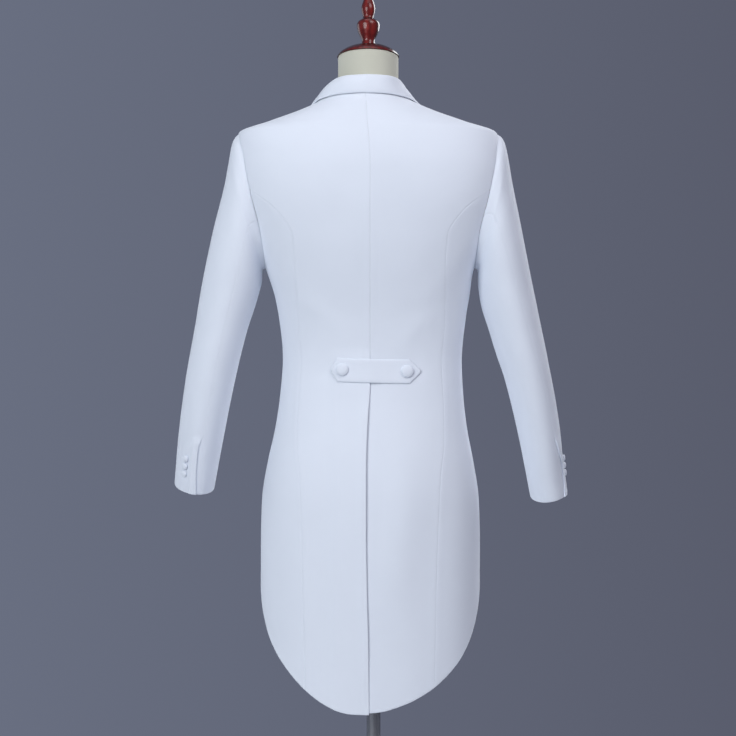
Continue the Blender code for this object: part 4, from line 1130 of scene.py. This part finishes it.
def wood_material():
    """Dark red varnished wood with its grain, darkened towards its outline by painted shade."""
    dark, light = (0.020, 0.003, 0.003), (0.340, 0.026, 0.020)
    material, tree, shader = shader_material(
        "varnished_wood", light, 0.30, Coat_Weight=0.40, Coat_Roughness=0.05,
        Specular_IOR_Level=0.25
    )
    place = object_place(tree, (22.0, 90.0, 14.0))
    grain = noise(tree, place, 3.0, 6.0, 0.65)
    rings = add_node(tree, "ShaderNodeTexWave", Scale=1.4, Distortion=5.0, Detail=3.0)
    tree.links.new(place, rings.inputs["Vector"])
    blend = weighted(tree, (grain, 0.7), (rings.outputs[1], 0.3))
    # Painted shade: the colour darkens where the surface turns away from the view, towards its
    # outline
    edge = add_node(tree, "ShaderNodeLayerWeight", Blend=0.45).outputs["Facing"]
    depth = maths(tree, "SUBTRACT", 1.05, maths(tree, "MULTIPLY", edge, 1.25))
    blend = maths(tree, "MULTIPLY", blend, depth)
    mix_colour(tree, blend, dark, light, shader.inputs["Base Color"])
    bump(tree, shader, grain, 0.15, 0.0002)
    return material


def steel_material():
    material, tree, shader = shader_material("satin_steel", (0.30, 0.30, 0.31), 0.22, 1.0)
    scratch = noise(tree, object_place(tree, (600.0, 600.0, 12.0)), 1.0, 4.0, 0.6)
    rough = maths(tree, "ADD", maths(tree, "MULTIPLY", scratch, 0.14), 0.12)
    tree.links.new(rough, shader.inputs["Roughness"])
    mix_colour(tree, scratch, (0.32, 0.32, 0.33), (0.55, 0.55, 0.55), shader.inputs["Base Color"])
    return material


# ---- Stage


# Name, place, size, power, colour
LAMPS = (
    ("key", (2.0, 3.1, 2.2), 2.2, 77.0, (0.95, 0.99, 1.0)),
    ("fill", (-1.7, 1.9, 3.4), 2.0, 47.0, (0.98, 0.96, 1.0)),
    ("front_key", (-2.0, -2.8, 2.6), 2.2, 62.0, (0.96, 0.985, 1.0)),
    ("front_fill", (2.8, -1.8, 1.4), 2.4, 20.0, (0.93, 0.965, 1.0)),
    ("low", (1.7, 3.0, 0.5), 1.6, 6.0, (0.94, 0.985, 1.0)),
    ("top", (0.0, 0.4, 3.6), 1.8, 8.0, (0.95, 0.98, 1.0)),
)
LAMP_TARGET = (0.0, 0.0, 1.05)
# Backdrop colours at its darker and its lighter side: painted shade and painted light across the
# wall
BACKDROP_PAINTED_SHADE = (0.100, 0.108, 0.150)
BACKDROP_PAINTED_LIGHT = (0.142, 0.160, 0.220)
FLOOR_RADIUS = 1.7
CAMERA_PLACE = (0.0034, 3.2, 1.02)
HALF_VIEW = radians(11.15)


def build_floor():
    material = shader_material("floor", (0.62, 0.63, 0.65), 0.8)[0]
    ring = [(FLOOR_RADIUS * cos(a * pi / 64), FLOOR_RADIUS * sin(a * pi / 64), 0.0)
            for a in range(128)]
    mesh = bpy.data.meshes.new("floor")
    mesh.from_pydata(ring, [], [tuple(range(128))])
    link("floor", mesh, [material])


def build_backdrop():
    """A studio wall with painted light: lighter towards one side and darker towards the other."""
    world = bpy.data.worlds.new("studio")
    bpy.context.scene.world = world
    world.use_nodes = True
    tree = world.node_tree
    split = tree.nodes.new("ShaderNodeSeparateXYZ")
    tree.links.new(tree.nodes.new("ShaderNodeTexCoord").outputs["Generated"], split.inputs[0])
    across = maths(tree, "ADD", maths(tree, "MULTIPLY", split.outputs[0], 2.4), 0.5)
    mix_colour(tree, across, BACKDROP_PAINTED_SHADE, BACKDROP_PAINTED_LIGHT,
               tree.nodes["Background"].inputs["Color"])


def build_lamps():
    for name, place, size, energy, colour in LAMPS:
        lamp = bpy.data.lights.new(name, "AREA")
        lamp.shape = "DISK"
        lamp.size = size
        lamp.energy = energy
        lamp.color = colour
        thing = bpy.data.objects.new(name, lamp)
        bpy.context.scene.collection.objects.link(thing)
        thing.location = place
        heading = Vector(LAMP_TARGET) - thing.location
        thing.rotation_euler = heading.to_track_quat("-Z", "Y").to_euler()


def build_camera():
    lens = bpy.data.cameras.new("camera")
    lens.sensor_width = 36.0
    lens.lens = lens.sensor_width / 2 / tan(HALF_VIEW)
    camera = bpy.data.objects.new("camera", lens)
    bpy.context.scene.collection.objects.link(camera)
    camera.location = CAMERA_PLACE
    camera.rotation_euler = (radians(90), 0.0, radians(180))
    bpy.context.scene.camera = camera
    bpy.context.scene.view_settings.view_transform = "Standard"
    bpy.context.scene.view_settings.look = "None"


# ---- Assembly


def dress(group):
    """Ties each piece to the body and hides the solid that it stands for."""
    for node, thing in group.items():
        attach(thing, "root")
        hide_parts(node)


def main():
    build_camera()
    build_floor()
    build_backdrop()
    build_lamps()
    white = cloth_material("white_suiting_cloth", (0.82, 0.862, 0.945), (0.76, 0.80, 0.88),
                           0.00055, 0.6, 0.35, 0.78, 0.12)
    lining = cloth_material("white_lining", (0.76, 0.80, 0.88), (0.70, 0.74, 0.82),
                            0.0003, 0.0, 0.15, 0.45, 0.05)
    satin = cloth_material("white_satin", (0.82, 0.862, 0.945), (0.77, 0.81, 0.89),
                           0.0003, 1.5, 0.12, 0.42, 0.1)
    covered = object_cloth("button_cloth", (0.81, 0.85, 0.93), (0.74, 0.78, 0.86), 0.6)
    cover = object_cloth("form_cotton", (0.66, 0.65, 0.54), (0.56, 0.55, 0.46), 0.85)
    cloth = [white, lining]
    pieces = {**build_body(cloth), **build_sleeves(cloth), **build_collar(cloth),
              **build_lapels([satin, white]), **build_belt(cloth)}
    dress(pieces)
    dress(build_buttons(covered))
    dress(build_form(cover))
    dress(build_stand(wood_material()))
    steel = steel_material()
    for node in ("pole", "base"):
        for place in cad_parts[node].material_slots:
            place.material = steel


main()
